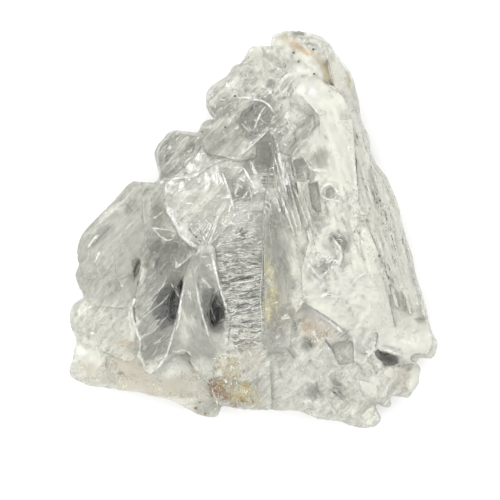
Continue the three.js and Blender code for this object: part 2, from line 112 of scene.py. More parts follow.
def relief(point, normal):
    """How far the broken surface stands out at a point, in metres."""
    # Wave lengths and heights are in millimetres.
    x, y, z = (c / MM for c in point)
    broad = noise_at(x / 6, y / 6, z / 5 + 3)
    fine = noise_at(x / 1.7, y / 1.7, z / 1.5 + 9)
    if normal.z <= TOP_FACING:
        sheets = noise_at(x / 9, y / 9, z / 0.42)
        return MM * (0.12 * broad + 0.06 * fine + 0.1 * sheets - 0.1)
    c, s = direction(LENGTH_ANGLE)
    along = x * c + y * s
    across = y * c - x * s
    stripes = noise_at(across / 0.75, along / 22, z / 9)
    level = noise_at(x / 7, y / 9, 31) * 4
    step = math.floor(level) + smooth((level - math.floor(level)) * 4)
    flank = on_flank(MIDDLE_PX[0] + point.x / PX, MIDDLE_PX[1] - point.y / PX)
    broken = 0.16 * broad + 0.09 * fine + 0.13 * step + 0.05 * stripes
    return MM * ((1 - flank) * broken + flank * (0.08 * stripes + 0.08 * broad))


def longest_allowed(edge):
    """The walls need less detail than the top."""
    on_wall = all(abs(face.normal.z) < TOP_FACING for face in edge.link_faces)
    return LONGEST_WALL_EDGE if on_wall else LONGEST_EDGE


def mesh_from(bm, name):
    mesh = bpy.data.meshes.new(name)
    bm.to_mesh(mesh)
    bm.free()
    return mesh


def refined_mesh():
    bm = bmesh.new()
    bm.from_mesh(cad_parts[NODE].data)
    bmesh.ops.remove_doubles(bm, verts=bm.verts, dist=WELD_DISTANCE)
    bmesh.ops.triangulate(bm, faces=bm.faces)
    for _ in range(SPLITTING_ROUNDS):
        bm.normal_update()
        long_edges = [
            e for e in bm.edges
            if e.calc_length() > longest_allowed(e) and max(v.co.z for v in e.verts) > LOW.z + REST_LEVEL
        ]
        if not long_edges:
            break
        bmesh.ops.subdivide_edges(bm, edges=long_edges, cuts=1)
        bmesh.ops.triangulate(bm, faces=[f for f in bm.faces if len(f.verts) > 3])
    above_rest = [v for v in bm.verts if v.co.z > LOW.z + REST_LEVEL]
    for _ in range(SMOOTHING_ROUNDS):
        bmesh.ops.smooth_vert(
            bm, verts=above_rest, factor=0.5, use_axis_x=True, use_axis_y=True, use_axis_z=True)
    bm.normal_update()
    moves = [(v, v.normal * relief(v.co, v.normal)) for v in above_rest]
    for vertex, move in moves:
        moved = vertex.co + move
        vertex.co = [min(max(moved[i], LOW[i]), HIGH[i]) for i in range(3)]
    bm.normal_update()
    return mesh_from(bm, "crystal_body")


def add_object(name, data):
    made = bpy.data.objects.new(name, data)
    bpy.context.scene.collection.objects.link(made)
    return made


def add_piece(name, mesh):
    piece = add_object(name, mesh)
    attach(piece, "root")
    return piece


body_mesh = refined_mesh()
body_mesh.shade_smooth()
body_points = np.empty(len(body_mesh.vertices) * 3)
body_mesh.vertices.foreach_get("co", body_points)
body_points = body_points.reshape(-1, 3)
body_normals = np.array([v.normal[:] for v in body_mesh.vertices])
TREE = BVHTree.FromPolygons(
    [v.co.copy() for v in body_mesh.vertices], [tuple(p.vertices) for p in body_mesh.polygons])
DOWN = Vector((0, 0, -1))


def surface_at(px, py):
    """The point of the crystal's top seen at this pixel, or None beside the crystal."""
    return TREE.ray_cast(Vector((*place(px, py), HIGH.z + 0.01)), DOWN)[0]


# How milky the stone is just under its surface. Each zone has its middle and half axes in the view
# from above, how much of it is milky, how crisp its feathers are, and the way they run: along the
# blade's length, along the feather break or along the cross break.

LENGTHWAYS = (1, 0, 0)
FEATHERED = (0, 1, 0)
ACROSS = (0, 0, 1)
ZONES = {
    "dome": (336, 140, 18, 44, 0.92, 0.15, LENGTHWAYS),
    "dome_top": (314, 96, 13, 16, 0.95, 0.1, LENGTHWAYS),
    "dome_foot": (352, 215, 14, 24, 0.84, 0.3, LENGTHWAYS),
    "flank": (384, 235, 14, 80, 0.84, 0.08, LENGTHWAYS),
    "upper_flank": (352, 96, 8, 30, 0.78, 0.1, LENGTHWAYS),
    "knob": (300, 54, 30, 18, 0.9, 0.35, FEATHERED),
    "shoulder": (235, 90, 24, 20, 0.66, 0.5, FEATHERED),
    "upper_field": (268, 118, 30, 24, 0.68, 0.5, FEATHERED),
    "feathered_block": (178, 156, 22, 22, 0.44, 0.5, FEATHERED),
    "shell_field": (210, 198, 42, 30, 0.6, 0.3, FEATHERED),
    "left_block": (110, 245, 34, 44, 0.46, 0.25, FEATHERED),
    "left_lobe": (96, 324, 26, 22, 0.72, 0.3, FEATHERED),
    "left_corner": (88, 362, 18, 20, 0.86, 0.2, FEATHERED),
    "front": (146, 380, 62, 16, 0.92, 0.3, ACROSS),
    "blade": (158, 300, 14, 60, 0.3, 0.4, FEATHERED),
    "shard": (204, 308, 16, 54, 0.36, 0.2, LENGTHWAYS),
    "fibre": (243, 296, 17, 50, 0.48, 1.0, ACROSS),
    "strip": (278, 250, 12, 66, 0.4, 0.15, LENGTHWAYS),
    "right_field": (332, 240, 34, 50, 0.92, 0.5, LENGTHWAYS),
    "right_foot": (336, 302, 36, 18, 0.92, 0.3, FEATHERED),
    "low_field": (330, 370, 52, 34, 0.76, 0.3, FEATHERED),
    "front_middle": (245, 378, 24, 30, 0.66, 0.5, FEATHERED),
    "thumb": (412, 342, 22, 16, 0.92, 0.1, ACROSS),
    "under_thumb": (404, 380, 16, 16, 0.7, 0.4, FEATHERED),
    "low_lobe": (360, 412, 26, 12, 0.76, 0.4, FEATHERED),
}
WALL_COVER = 0.5
WALL_CRISP = 0.35
REST_COVER = 0.6

# Soft ovals that change the zones: the middle's two pixels, half axes, turn of the first axis from +X,
# and strength.
CLEAR_WINDOWS = [
    (256, 122, 28, 18, 48, 0.7), (266, 148, 11, 24, 0, 0.75), (259, 167, 18, 11, 0, 0.75),
    (228, 138, 22, 14, 20, 0.45), (222, 112, 16, 10, 30, 0.45), (240, 190, 14, 16, 0, 0.6),
    (281, 130, 5, 14, 0, 0.5), (296, 172, 13, 17, 0, 0.2), (309, 177, 8, 10, 0, 0.45),
    (314, 200, 12, 20, 0, 0.4), (327, 193, 9, 8, 0, 0.1), (321, 158, 10, 8, 30, 0.5),
    (316, 222, 8, 12, 0, 0.5), (166, 150, 8, 18, -30, 0.6), (192, 146, 6, 7, 0, 0.5),
    (160, 216, 8, 14, 0, 0.5), (168, 256, 19, 18, 0, 0.85), (168, 300, 11, 26, -12, 0.85),
    (153, 346, 9, 20, -28, 0.5), (104, 234, 14, 7, 42, 0.45), (136, 268, 3, 10, -10, 0.6),
    (118, 288, 8, 8, 0, 0.35), (132, 206, 9, 8, 0, 0.35), (206, 290, 8, 30, 6, 0.5),
    (192, 308, 6, 13, 0, 0.5), (216, 314, 8, 17, 10, 0.95), (196, 232, 4, 7, 20, 0.5),
    (276, 244, 9, 38, 4, 0.35), (276, 336, 10, 22, 0, 0.45), (340, 354, 22, 16, 0, 0.1),
    (338, 386, 13, 7, -52, 0.55), (313, 391, 11, 7, 0, 0.4), (388, 357, 11, 5, -12, 1.0),
    (262, 388, 7, 13, 25, 0.35), (338, 241, 8, 10, 30, 0.55), (326, 266, 11, 7, 30, 0.5),
    (308, 345, 7, 8, 0, 0.5), (270, 84, 5, 5, 0, 0.5), (282, 350, 9, 16, 0, 0.4),
    (343, 332, 10, 6, -20, 0.4), (290, 352, 7, 8, 0, 0.35), (226, 180, 6, 9, 0, 0.35),
]
# Milky patches. Some of them, at the knob's creases and at the step below the right field, are painted light
# that lifts the shade there.
MILKY_AND_PAINTED_LIGHT_PATCHES = [
    (258, 184, 9, 6, -35, 0.5), (190, 232, 10, 6, -40, 0.5), (206, 248, 12, 5, 0, 0.4),
    (196, 205, 24, 16, 20, 0.18), (252, 270, 9, 4, 0, 0.35), (248, 132, 7, 3, -30, 0.4),
    (90, 350, 11, 16, 24, 0.2), (212, 368, 16, 10, 10, 0.2), (226, 352, 8, 20, 20, 0.2),
    (150, 371, 5, 5, 0, 0.6), (134, 320, 5, 26, 6, 0.35), (144, 274, 4, 14, -8, 0.5),
    (304, 232, 9, 14, 0, 0.2), (414, 380, 6, 16, 0, 0.35), (390, 371, 6, 5, 0, 0.4),
    (319, 403, 5, 5, 0, 0.45), (307, 399, 6, 4, 0, 0.35), (350, 292, 22, 12, -10, 0.15),
    (296, 122, 14, 10, 0, 0.15), (286, 104, 12, 8, 20, 0.2), (354, 352, 12, 8, -38, 0.25),
    (112, 212, 34, 4.5, 43, 0.3), (302, 68, 16, 7, 0, 0.3), (328, 74, 7, 16, 14, 0.3),
    (188, 325, 7, 24, -8, 0.3), (330, 318, 26, 7, -35, 0.2), (318, 104, 14, 6, -30, 0.2),
    (366, 386, 11, 9, 0, 0.2), (236, 126, 8, 6, 0, 0.2), (173, 228, 6, 3, 0, 0.4),
]

WHITE = (0.97, 0.97, 0.93)
MILK = (0.8, 0.8, 0.725)
CREAM = (0.88, 0.83, 0.71)
WARM = (0.76, 0.68, 0.54)
OLIVE = (0.74, 0.69, 0.47)
UMBER = (0.5, 0.46, 0.36)
OCHRE = (0.52, 0.4, 0.2)
RUST = (0.33, 0.18, 0.07)
YELLOW = (0.78, 0.71, 0.42)
PEACH = (0.8, 0.67, 0.52)
TAN = (0.78, 0.58, 0.36)
ROSE = (0.74, 0.65, 0.56)
# GREY and DARK are mostly painted shade in gaps and over clear windows; DARK is also the real dark matter
# round the black grains.
GREY = (0.34, 0.34, 0.31)
DARK = (0.16, 0.165, 0.15)
BLACK = (0.008, 0.009, 0.009)

# Stains just under the surface, with painted light and shade among them: the MILK ones, and the CREAM one on
# the knob's crease, lift the shade in hollow floors, creases and a step, and the GREY ones are painted shade,
# mostly over the clear windows. Each is an oval as above, and its colour.
STAINS_AND_PAINTED_LIGHT_SHADE = [
    (128, 366, 22, 12, -12, 0.6, CREAM), (150, 386, 38, 9, -10, 0.55, CREAM),
    (92, 372, 14, 8, -12, 0.35, CREAM), (128, 344, 11, 5, 0, 0.4, WARM), (136, 366, 6, 6, 0, 0.4, WARM),
    (190, 386, 22, 13, -14, 0.45, CREAM), (168, 258, 17, 17, 0, 0.22, GREY),
    (215, 384, 6, 4, -20, 0.9, RUST), (222, 393, 4, 7, 24, 0.9, RUST), (242, 399, 4, 2.5, 0, 0.9, RUST),
    (229, 385, 8, 4, 20, 0.7, UMBER), (218, 385, 8, 5, 8, 0.7, OCHRE), (215, 388, 4, 3, -30, 0.9, RUST),
    (222, 395, 3, 6, 24, 0.85, RUST), (228, 388, 5, 7, 0, 0.6, WARM), (232, 370, 9, 12, 10, 0.4, OLIVE),
    (242, 392, 12, 9, -36, 0.6, YELLOW), (252, 402, 9, 4, -10, 0.5, OLIVE),
    (216, 392, 7, 10, 20, 0.6, WARM), (228, 396, 6, 6, 0, 0.5, OCHRE), (234, 384, 6, 5, 0, 0.5, UMBER),
    (248, 398, 7, 3, -30, 0.5, UMBER), (226, 376, 5, 7, 10, 0.4, WARM), (246, 384, 5, 4, 0, 0.6, OCHRE),
    (241, 399, 2.5, 2, 0, 0.9, RUST), (233, 381, 2, 1.6, 0, 0.8, RUST), (242, 340, 9, 9, 0, 0.3, ROSE),
    (252, 356, 11, 12, 0, 0.35, CREAM), (271, 282, 5, 26, 8, 0.6, OLIVE), (267, 308, 5, 15, 4, 0.65, OLIVE),
    (276, 300, 9, 12, 0, 0.3, OLIVE), (282, 318, 11, 14, 10, 0.4, UMBER), (318, 330, 14, 11, 0, 0.4, PEACH),
    (307, 322, 6, 7, 0, 0.35, PEACH), (284, 39, 4, 4, 0, 1.0, YELLOW), (291, 47, 7, 4, -30, 0.5, WARM),
    (304, 54, 5, 2, -38, 1.0, TAN), (295, 48, 8, 3, -35, 0.5, TAN), (258, 187, 10, 5, -36, 0.8, WHITE),
    (312, 94, 6, 10, 20, 0.7, WHITE), (316, 60, 11, 4, -52, 0.5, WARM), (325, 74, 3.5, 13, 14, 0.5, YELLOW),
    (298, 34.5, 6, 2.4, 0, 0.5, GREY), (310, 47, 6, 2, 0, 0.4, GREY), (350, 84, 4, 11, 14, 0.4, YELLOW),
    (348, 78, 2, 5, 14, 0.45, PEACH), (404, 389, 4, 3, 0, 0.4, ROSE), (402, 378, 8, 8, 0, 0.25, ROSE),
    (121, 373, 2.2, 1.8, 0, 0.9, RUST), (195, 371, 3.5, 1.6, -20, 0.7, WARM),
    (196, 408, 1.4, 1.2, 0, 0.9, RUST), (205, 414, 1.2, 1.2, 0, 0.8, RUST),
    (200, 402, 1.2, 1, 0, 0.8, RUST), (387, 357, 10, 4, -14, 0.4, GREY), (328, 75, 6, 13, 14, 0.6, CREAM),
    (294, 66, 12, 5, -8, 0.5, MILK), (324, 322, 24, 5, -35, 0.5, MILK), (301, 170, 8, 13, -10, 0.45, MILK),
    (329, 192, 8, 7, 0, 0.55, MILK), (341, 352, 13, 13, 0, 0.45, MILK), (314, 198, 7, 16, 8, 0.3, MILK),
    (336, 386, 9, 5, -52, 0.3, GREY), (314, 391, 6, 4, 0, 0.3, GREY), (177, 222, 3, 3, 0, 0.3, GREY),
    (308, 343, 4, 6, 10, 0.35, GREY),
]

# Gritty crusts: middle, half axes, how many grains, and the grains' colours.
CRUSTS = [
    (228, 370, 14, 20, 90, (CREAM, WHITE, WHITE, OCHRE)), (217, 388, 9, 9, 44, (OCHRE, RUST, RUST, UMBER)),
    (244, 397, 12, 5, 20, (RUST, UMBER, YELLOW)), (240, 394, 20, 9, 60, (YELLOW, OLIVE, UMBER, CREAM)),
    (130, 372, 34, 16, 40, (CREAM, WARM, WHITE)), (296, 46, 14, 8, 14, (CREAM, WARM)),
    (318, 332, 16, 12, 26, (WARM, CREAM, WHITE)), (226, 404, 14, 5, 16, (UMBER, OCHRE)),
    (243, 342, 11, 10, 24, (WARM, CREAM, GREY)),
]


def oval(px, py, cx, cy, a, b, turn):
    """1 in the middle of an oval, 0 at its edge and outside."""
    c, s = direction(turn)
    x, y = px - cx, cy - py
    out = np.hypot((x * c + y * s) / a, (y * c - x * s) / b)
    return smooth((1.4 - out) / 0.9)


def wandering(px, py, reach):
    """The pixel places, each pushed about by a smooth noise, so that no patch has an even edge."""
    pushes = np.array([
        noise.noise_vector(Vector((x / 13, y / 13, 4))) * 0.7
        + noise.noise_vector(Vector((x / 4, y / 4, 8))) * 0.3
        for x, y in zip(px, py)
    ])
    return px + reach * pushes[:, 0], py + reach * pushes[:, 1]


def milkiness(px, py):
    """The cover, crispness and run of the feathers at these pixels."""
    px, py = wandering(px, py, 9)
    total = np.full(len(px), 1e-9)
    cover, crisp = np.zeros(len(px)), np.zeros(len(px))
    run = np.zeros((len(px), 3))
    for cx, cy, a, b, amount, edge, way in ZONES.values():
        weight = np.exp(-1.6 * (((px - cx) / a) ** 2 + ((py - cy) / b) ** 2)) + 1e-7
        total += weight
        cover += amount * weight
        crisp += edge * weight
        run += np.outer(weight, way)
    cover, crisp, run = cover / total, crisp / total, run / total[:, None]
    for *shape, strength in MILKY_AND_PAINTED_LIGHT_PATCHES:
        cover += strength * oval(px, py, *shape)
    window = np.zeros(len(px))
    for *shape, strength in CLEAR_WINDOWS:
        window = np.maximum(window, strength * oval(px, py, *shape))
    return np.clip(cover, 0, 1) * (1 - window), crisp, run


SELENITE_IOR = 1.525
ABSORPTION_DENSITY = 20.0
MINERAL = (0.009, 0.01, 0.01)


# Node helpers.

def new_material(name):
    material = bpy.data.materials.new(name)
    material.use_nodes = True
    material.node_tree.nodes.clear()
    return material, material.node_tree


def node(tree, kind, inputs=None, **settings):
    made = tree.nodes.new("ShaderNode" + kind)
    for key, value in settings.items():
        setattr(made, key, value)
    for key, value in (inputs or {}).items():
        if isinstance(value, bpy.types.NodeSocket):
            tree.links.new(value, made.inputs[key])
        else:
            made.inputs[key].default_value = value
    return made


def math_node(tree, operation, a, b, limit=False):
    return node(tree, "Math", {0: a, 1: b}, operation=operation, use_clamp=limit).outputs[0]


def product(tree, a, b, limit=False):
    return math_node(tree, "MULTIPLY", a, b, limit)


def noise_value(tree, vector, scale, detail, roughness=0.5, distortion=0.0):
    inputs = {"Vector": vector, "Scale": scale, "Detail": detail, "Roughness": roughness,
              "Distortion": distortion}
    return node(tree, "TexNoise", inputs).outputs["Fac"]


def mapped(tree, value, from_low, from_high, to_low, to_high):
    inputs = {"Value": value, "From Min": from_low, "From Max": from_high, "To Min": to_low,
              "To Max": to_high}
    return node(tree, "MapRange", inputs).outputs["Result"]


def attribute(tree, name, output="Fac"):
    return node(tree, "Attribute", attribute_name=name).outputs[output]


def stretched_along(tree, vector, angle, times):
    """The vector with its direction at this angle drawn out."""
    return node(tree, "Mapping", {
        "Vector": vector, "Rotation": (0, 0, math.radians(angle)), "Scale": (times, 1, 1),
    }, vector_type="TEXTURE").outputs["Vector"]


def scaled_colour(tree, colour, factor):
    return node(tree, "VectorMath", {"Vector": colour, "Scale": factor},
                operation="SCALE").outputs["Vector"]


def object_point(tree):
    return node(tree, "TexCoord").outputs["Object"]


def finish_surface(tree, inputs, **more):
    """The main shader with these inputs, joined to the material's output."""
    shader = node(tree, "BsdfPrincipled", inputs)
    node(tree, "OutputMaterial", {"Surface": shader.outputs[0], **more})


def clear_selenite():
    """The stone: plain transmission and absorption, finely broken where it is frosted."""
    material, tree = new_material("clear_selenite")
    here = object_point(tree)
    patches = noise_value(tree, here, 260, 4, 0.6, 0.4)
    polish = mapped(tree, patches, 0.35, 0.7, 0.04, 0.16)
    frosting = product(tree, attribute(tree, "frost"), 0.25)
    roughness = math_node(tree, "ADD", polish, frosting, True)
    hairlines = noise_value(tree, stretched_along(tree, here, LENGTH_ANGLE, 12), 1400, 4, 0.6)
    pits = noise_value(tree, here, 900, 5, 0.65, 0.6)
    height = math_node(tree, "ADD", product(tree, hairlines, 0.5), pits)
    bump = node(tree, "Bump", {"Height": height, "Strength": 0.3, "Distance": 0.05 * MM})
    absorption = node(tree, "VolumeAbsorption", {
        "Color": (0.86, 0.87, 0.82, 1), "Density": ABSORPTION_DENSITY,
    })
    finish_surface(tree, {
        "Base Color": (0.99, 0.99, 0.98, 1), "Transmission Weight": 1.0, "IOR": SELENITE_IOR,
        "Roughness": roughness, "Normal": bump.outputs["Normal"],
    }, Volume=absorption.outputs[0])
    return material


def milky_feathers(name, fineness, roughness):
    """Thin breaks in the stone: their cover is met by noise that is drawn out along their run."""
    material, tree = new_material(name)
    here = object_point(tree)
    runs = node(tree, "SeparateColor", {"Color": attribute(tree, "run", "Color")}).outputs
    feathers = None
    for angle, share in zip((LENGTH_ANGLE, FEATHER_ANGLE, BREAK_ANGLE), runs):
        grain = noise_value(tree, stretched_along(tree, here, angle, 4.5), fineness, 4, 0.65, 0.5)
        part = product(tree, grain, share)
        feathers = part if feathers is None else math_node(tree, "ADD", feathers, part)
    crisp = attribute(tree, "crisp")
    swing = product(tree, mapped(tree, feathers, 0.33, 0.67, -1.0, 1.0), crisp)
    loops = noise_value(tree, here, fineness * 0.3, 3, 0.55, 1.5)
    off_line = math_node(tree, "ABSOLUTE", math_node(tree, "SUBTRACT", loops, 0.5), 0.0)
    hairline = product(tree, mapped(tree, off_line, 0.0, 0.012, 0.3, 0.0), crisp)
    cover = math_node(tree, "ADD", attribute(tree, "cover"), hairline)
    alpha = product(tree, cover, math_node(tree, "ADD", swing, 1.0), True)
    shade = mapped(tree, feathers, 0.3, 0.7, 0.94, 1.05)
    finish_surface(tree, {
        "Base Color": scaled_colour(tree, attribute(tree, "tint", "Color"), shade),
        "Roughness": roughness, "Specular IOR Level": 0.2, "Alpha": alpha,
    })
    return material


def thin_marks(name, roughness, least=0.5):
    """Single cracks, stained spots, painted highlights and painted shade: their cover is broken up a little
    by a fine noise.
    """
    material, tree = new_material(name)
    here = object_point(tree)
    grit = noise_value(tree, here, 2600, 4, 0.65, 0.6)
    wear = mapped(tree, grit, 0.32, 0.55, least, 1.35)
    alpha = product(tree, attribute(tree, "cover"), wear, True)
    shade = mapped(tree, grit, 0.3, 0.7, 0.85, 1.08)
    finish_surface(tree, {
        "Base Color": scaled_colour(tree, attribute(tree, "tint", "Color"), shade),
        "Roughness": roughness, "Specular IOR Level": 0.3, "Alpha": alpha,
    })
    return material


def dark_mineral():
    material, tree = new_material("dark_mineral")
    here = object_point(tree)
    grit = noise_value(tree, here, 1800, 4)
    finish_surface(tree, {
        "Base Color": scaled_colour(tree, MINERAL, mapped(tree, grit, 0.3, 0.7, 0.5, 1.6)),
        "Roughness": mapped(tree, grit, 0.3, 0.7, 0.3, 0.6),
    })
    return material


def write_attribute(mesh, name, kind, field, values):
    made = mesh.attributes.new(name, kind, "POINT")
    made.data.foreach_set(field, np.asarray(values, np.float32).ravel())


def write_colours(mesh, name, values):
    write_attribute(mesh, name, "FLOAT_COLOR", "color", np.c_[values, np.ones(len(values))])


def write_values(mesh, name, values):
    write_attribute(mesh, name, "FLOAT", "value", values)


def write_veil(mesh, cover, crisp, run):
    write_colours(mesh, "tint", np.tile(MILK, (len(run), 1)))
    write_colours(mesh, "run", run)
    write_values(mesh, "cover", cover)
    write_values(mesh, "crisp", crisp)


# The body's own finish, and a milky layer just under its whole surface.

VEIL_DEPTH = 0.14 * MM

body_px = MIDDLE_PX[0] + body_points[:, 0] / PX
body_py = MIDDLE_PX[1] - body_points[:, 1] / PX
veil_cover, veil_crisp, veil_run = milkiness(body_px, body_py)
wall = smooth((TOP_FACING + 0.15 - body_normals[:, 2]) / 0.3)
veil_cover = veil_cover * (1 - wall) + WALL_COVER * wall
veil_crisp = veil_crisp * (1 - wall) + WALL_CRISP * wall
veil_run = veil_run * (1 - wall)[:, None] + np.outer(wall, ACROSS)
veil_cover[body_points[:, 2] < LOW.z + REST_LEVEL] = REST_COVER

veil_mesh = body_mesh.copy()
veil_mesh.name = "milky_surface"
veil_points = body_points - VEIL_DEPTH * body_normals
least_gap = 0.5 * VEIL_DEPTH
veil_points = np.clip(veil_points, np.array(LOW) + least_gap, np.array(HIGH) - least_gap)
veil_mesh.vertices.foreach_set("co", veil_points.ravel())
write_veil(veil_mesh, veil_cover, veil_crisp, veil_run)
veil_mesh.materials.append(milky_feathers("feathery_break", 900, 0.5))
veil_mesh.update()
add_piece("milky_surface", veil_mesh)

body_mesh.set_sharp_from_angle(angle=math.radians(45))
write_values(body_mesh, "frost", veil_cover ** 2)
body_mesh.materials.append(clear_selenite())
body = add_piece("crystal_body", body_mesh)
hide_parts(NODE)


# Deeper milky layers follow the top at a depth, over a grid of the lowest levels round each point.

GRID_STEP = 2.5
DEEP_LEAST = 1.4 * MM
DEEP_LAYERS = {"middle_veil": (1.8 * MM, 0.6, 500), "deep_veil": (6.0 * MM, 0.8, 260)}


def top_grid():
    across = np.arange(LEFT_PX, RIGHT_PX, GRID_STEP)
    down = np.arange(TOP_PX, BOTTOM_PX, GRID_STEP)
    levels = np.full((len(across), len(down)), -1.0)
    for i, px in enumerate(across):
        for j, py in enumerate(down):
            hit = surface_at(px, py)
            if hit is not None:
                levels[i, j] = hit.z
    lowest = np.min([np.roll(levels, (i, j), (0, 1)) for i in (-1, 0, 1) for j in (-1, 0, 1)], axis=0)
    inside = lowest > 0
    evened = np.mean([np.roll(lowest, (i, j), (0, 1)) for i in (-1, 0, 1) for j in (-1, 0, 1)], axis=0)
    return across, down, np.minimum(lowest, evened), inside


def deep_veil(name, depth, share, fineness):
    index = np.full(GRID_INSIDE.shape, -1)
    index[GRID_INSIDE] = np.arange(GRID_INSIDE.sum())
    i, j = np.nonzero(GRID_INSIDE)
    px, py = GRID_ACROSS[i], GRID_DOWN[j]
    x, y = place(px, py)
    z = np.maximum(GRID_LEVELS[i, j] - depth, DEEP_LEAST)
    quads = np.stack([index[:-1, :-1], index[:-1, 1:], index[1:, 1:], index[1:, :-1]], axis=-1).reshape(-1, 4)
    mesh = bpy.data.meshes.new(name)
    mesh.from_pydata(np.c_[x, y, z].tolist(), [], quads[quads.min(axis=1) >= 0].tolist())
    cover, crisp, run = milkiness(px + depth / PX * 0.2, py)
    write_veil(mesh, cover * share, crisp * 0.6, run)
    mesh.shade_smooth()
    mesh.materials.append(milky_feathers(name, fineness, 0.6))
    add_piece(name, mesh)


GRID_ACROSS, GRID_DOWN, GRID_LEVELS, GRID_INSIDE = top_grid()
for layer, (layer_depth, layer_share, layer_fineness) in DEEP_LAYERS.items():
    deep_veil(layer, layer_depth, layer_share, layer_fineness)


# Marks: cracks, feathers, facets and stains, with painted highlights along crests and facets and painted
# shade in the gaps beside them, each a thin strip or patch just under the surface.

TALLEST_STEP = 0.9 * MM
SAMPLE_PX = 1.7
STRAY = 0.35
MOTTLE = 0.12


class Marks:
    """Strips and patches that follow the top. Each vertex has a colour and how strongly it shows."""

    def __init__(self, depth):
        self.depth = depth
        self.points, self.faces, self.tints, self.covers = [], [], [], []

    def grid(self, rows, tint):
        """rows of (px, py, cover), joined by faces except over a steep step or beside the crystal."""
        index = []
        for row in rows:
            line = []
            for px, py, cover in row:
                hit = surface_at(px, py)
                if hit is None:
                    line.append(None)
                    continue
                line.append(len(self.points))
                self.points.append((hit.x, hit.y, max(hit.z - self.depth, LOW.z)))
                self.tints.append(tint)
                self.covers.append(cover)
            index.append(line)
        for upper, lower in zip(index, index[1:]):
            for corners in zip(upper, upper[1:], lower[1:], lower):
                if None not in corners:
                    levels = [self.points[k][2] for k in corners]
                    if max(levels) - min(levels) < TALLEST_STEP:
                        self.faces.append(corners)

    def build(self, name, material):
        mesh = bpy.data.meshes.new(name)
        mesh.from_pydata(self.points, [], self.faces)
        write_colours(mesh, "tint", self.tints)
        write_values(mesh, "cover", self.covers)
        mesh.shade_smooth()
        mesh.materials.append(material)
        add_piece(name, mesh)


def curve_through(points, spacing):
    """Points at an even spacing on a smooth curve through the given ones."""
    ends = [points[0], *points, points[-1]]
    fine = []
    for a, b, c, d in zip(ends, ends[1:], ends[2:], ends[3:]):
        for k in range(6):
            t = k / 6
            fine.append(tuple(
                0.5 * (2 * q + (r - p) * t + (2 * p - 5 * q + 4 * r - s) * t * t
                       + (3 * q - p - 3 * r + s) * t ** 3)
                for p, q, r, s in zip(a, b, c, d)))
    fine.append(points[-1])
    fine = np.array(fine, float)
    run = np.r_[0, np.cumsum(np.hypot(*np.diff(fine, axis=0).T))]
    even = np.linspace(0, run[-1], max(3, int(run[-1] / spacing) + 1))
    return np.c_[np.interp(even, run, fine[:, 0]), np.interp(even, run, fine[:, 1])]


ROUND_PROFILE = ((-1, 0), (-0.55, 0.75), (0, 1), (0.55, 0.75), (1, 0))
THIN_PROFILE = ((-1, 0), (0, 1), (1, 0))
EDGE_PROFILE = ((-1, 0.1), (-0.8, 1), (0, 0.45), (1, 0))


def ribbon(marks, points, width, strength, tint, profile=None):
    """A crack or crest: a strip with tapered ends and a slightly uneven edge."""
    line = curve_through(points, SAMPLE_PX)
    ways = np.gradient(line, axis=0)
    ways /= np.maximum(np.hypot(*ways.T), 1e-6)[:, None]
    seed = line[0, 0] * 0.37 + line[0, 1] * 0.91
    profile = profile or (THIN_PROFILE if width < 2.2 else ROUND_PROFILE)
    rows = []
    for k, ((x, y), (dx, dy)) in enumerate(zip(line, ways)):
        t = k / (len(line) - 1)
        taper = min(1.0, 5 * t + 0.25, 5 * (1 - t) + 0.15)
        wobble = noise_at(k * 0.45, seed, 0)
        drift = STRAY * noise_at(k * 0.3, seed, 7)
        half = 0.5 * width * taper * (1 + 0.5 * wobble)
        glow = strength * min(1.0, 0.35 + 4 * t, 0.2 + 4 * (1 - t)) * (1 + 0.35 * wobble)
        rows.append([(x - dy * (half * side + drift), y + dx * (half * side + drift), glow * amount)
                     for side, amount in profile])
    marks.grid(rows, tint)


def patch(marks, cx, cy, a, b, turn, strength, tint):
    """A soft oval with a wandering edge, broken up by noise."""
    c, s = direction(turn)
    step = min(1.6, max(0.6, min(a, b) / 3))
    across = np.arange(-1.3 * a, 1.3 * a + step, step)
    down = np.arange(-1.3 * b, 1.3 * b + step, step)
    rows = []
    for v in down:
        px, py = cx + across * c - v * s, cy - across * s - v * c
        stray_x, stray_y = wandering(px, py, min(7, 0.8 * min(a, b)))
        spots = np.array([noise_at(x / 2.6, y / 2.6, 5) for x, y in zip(px, py)])
        amount = strength * oval(stray_x, stray_y, cx, cy, a, b, turn)
        amount = amount * np.maximum(1 + MOTTLE * 4 * spots, 0)
        rows.append(list(zip(px, py, amount)))
    marks.grid(rows, tint)


def facet(marks, px, py, size, turn, strength, tint):
    """A small flat break: crisp along one side and fading from it."""
    c, s = direction(turn)
    skew = rng.uniform(-0.5, 0.5)
    long = size * rng.uniform(0.7, 1.4)
    broad = size * rng.uniform(0.35, 0.8)
    rows = []
    for v, amount in ((0, 0.15), (0.08, 1), (0.5, 0.55), (1, 0)):
        row = []
        for u in (-0.5, -0.42, 0, 0.42, 0.5):
            along = u * long * (1 - 0.45 * v) + skew * v * broad
            off = v * broad
            edge = 0.2 if abs(u) == 0.5 else 1
            row.append((px + along * c - off * s, py - along * s - off * c, strength * amount * edge))
        rows.append(row)
    marks.grid(rows, tint)
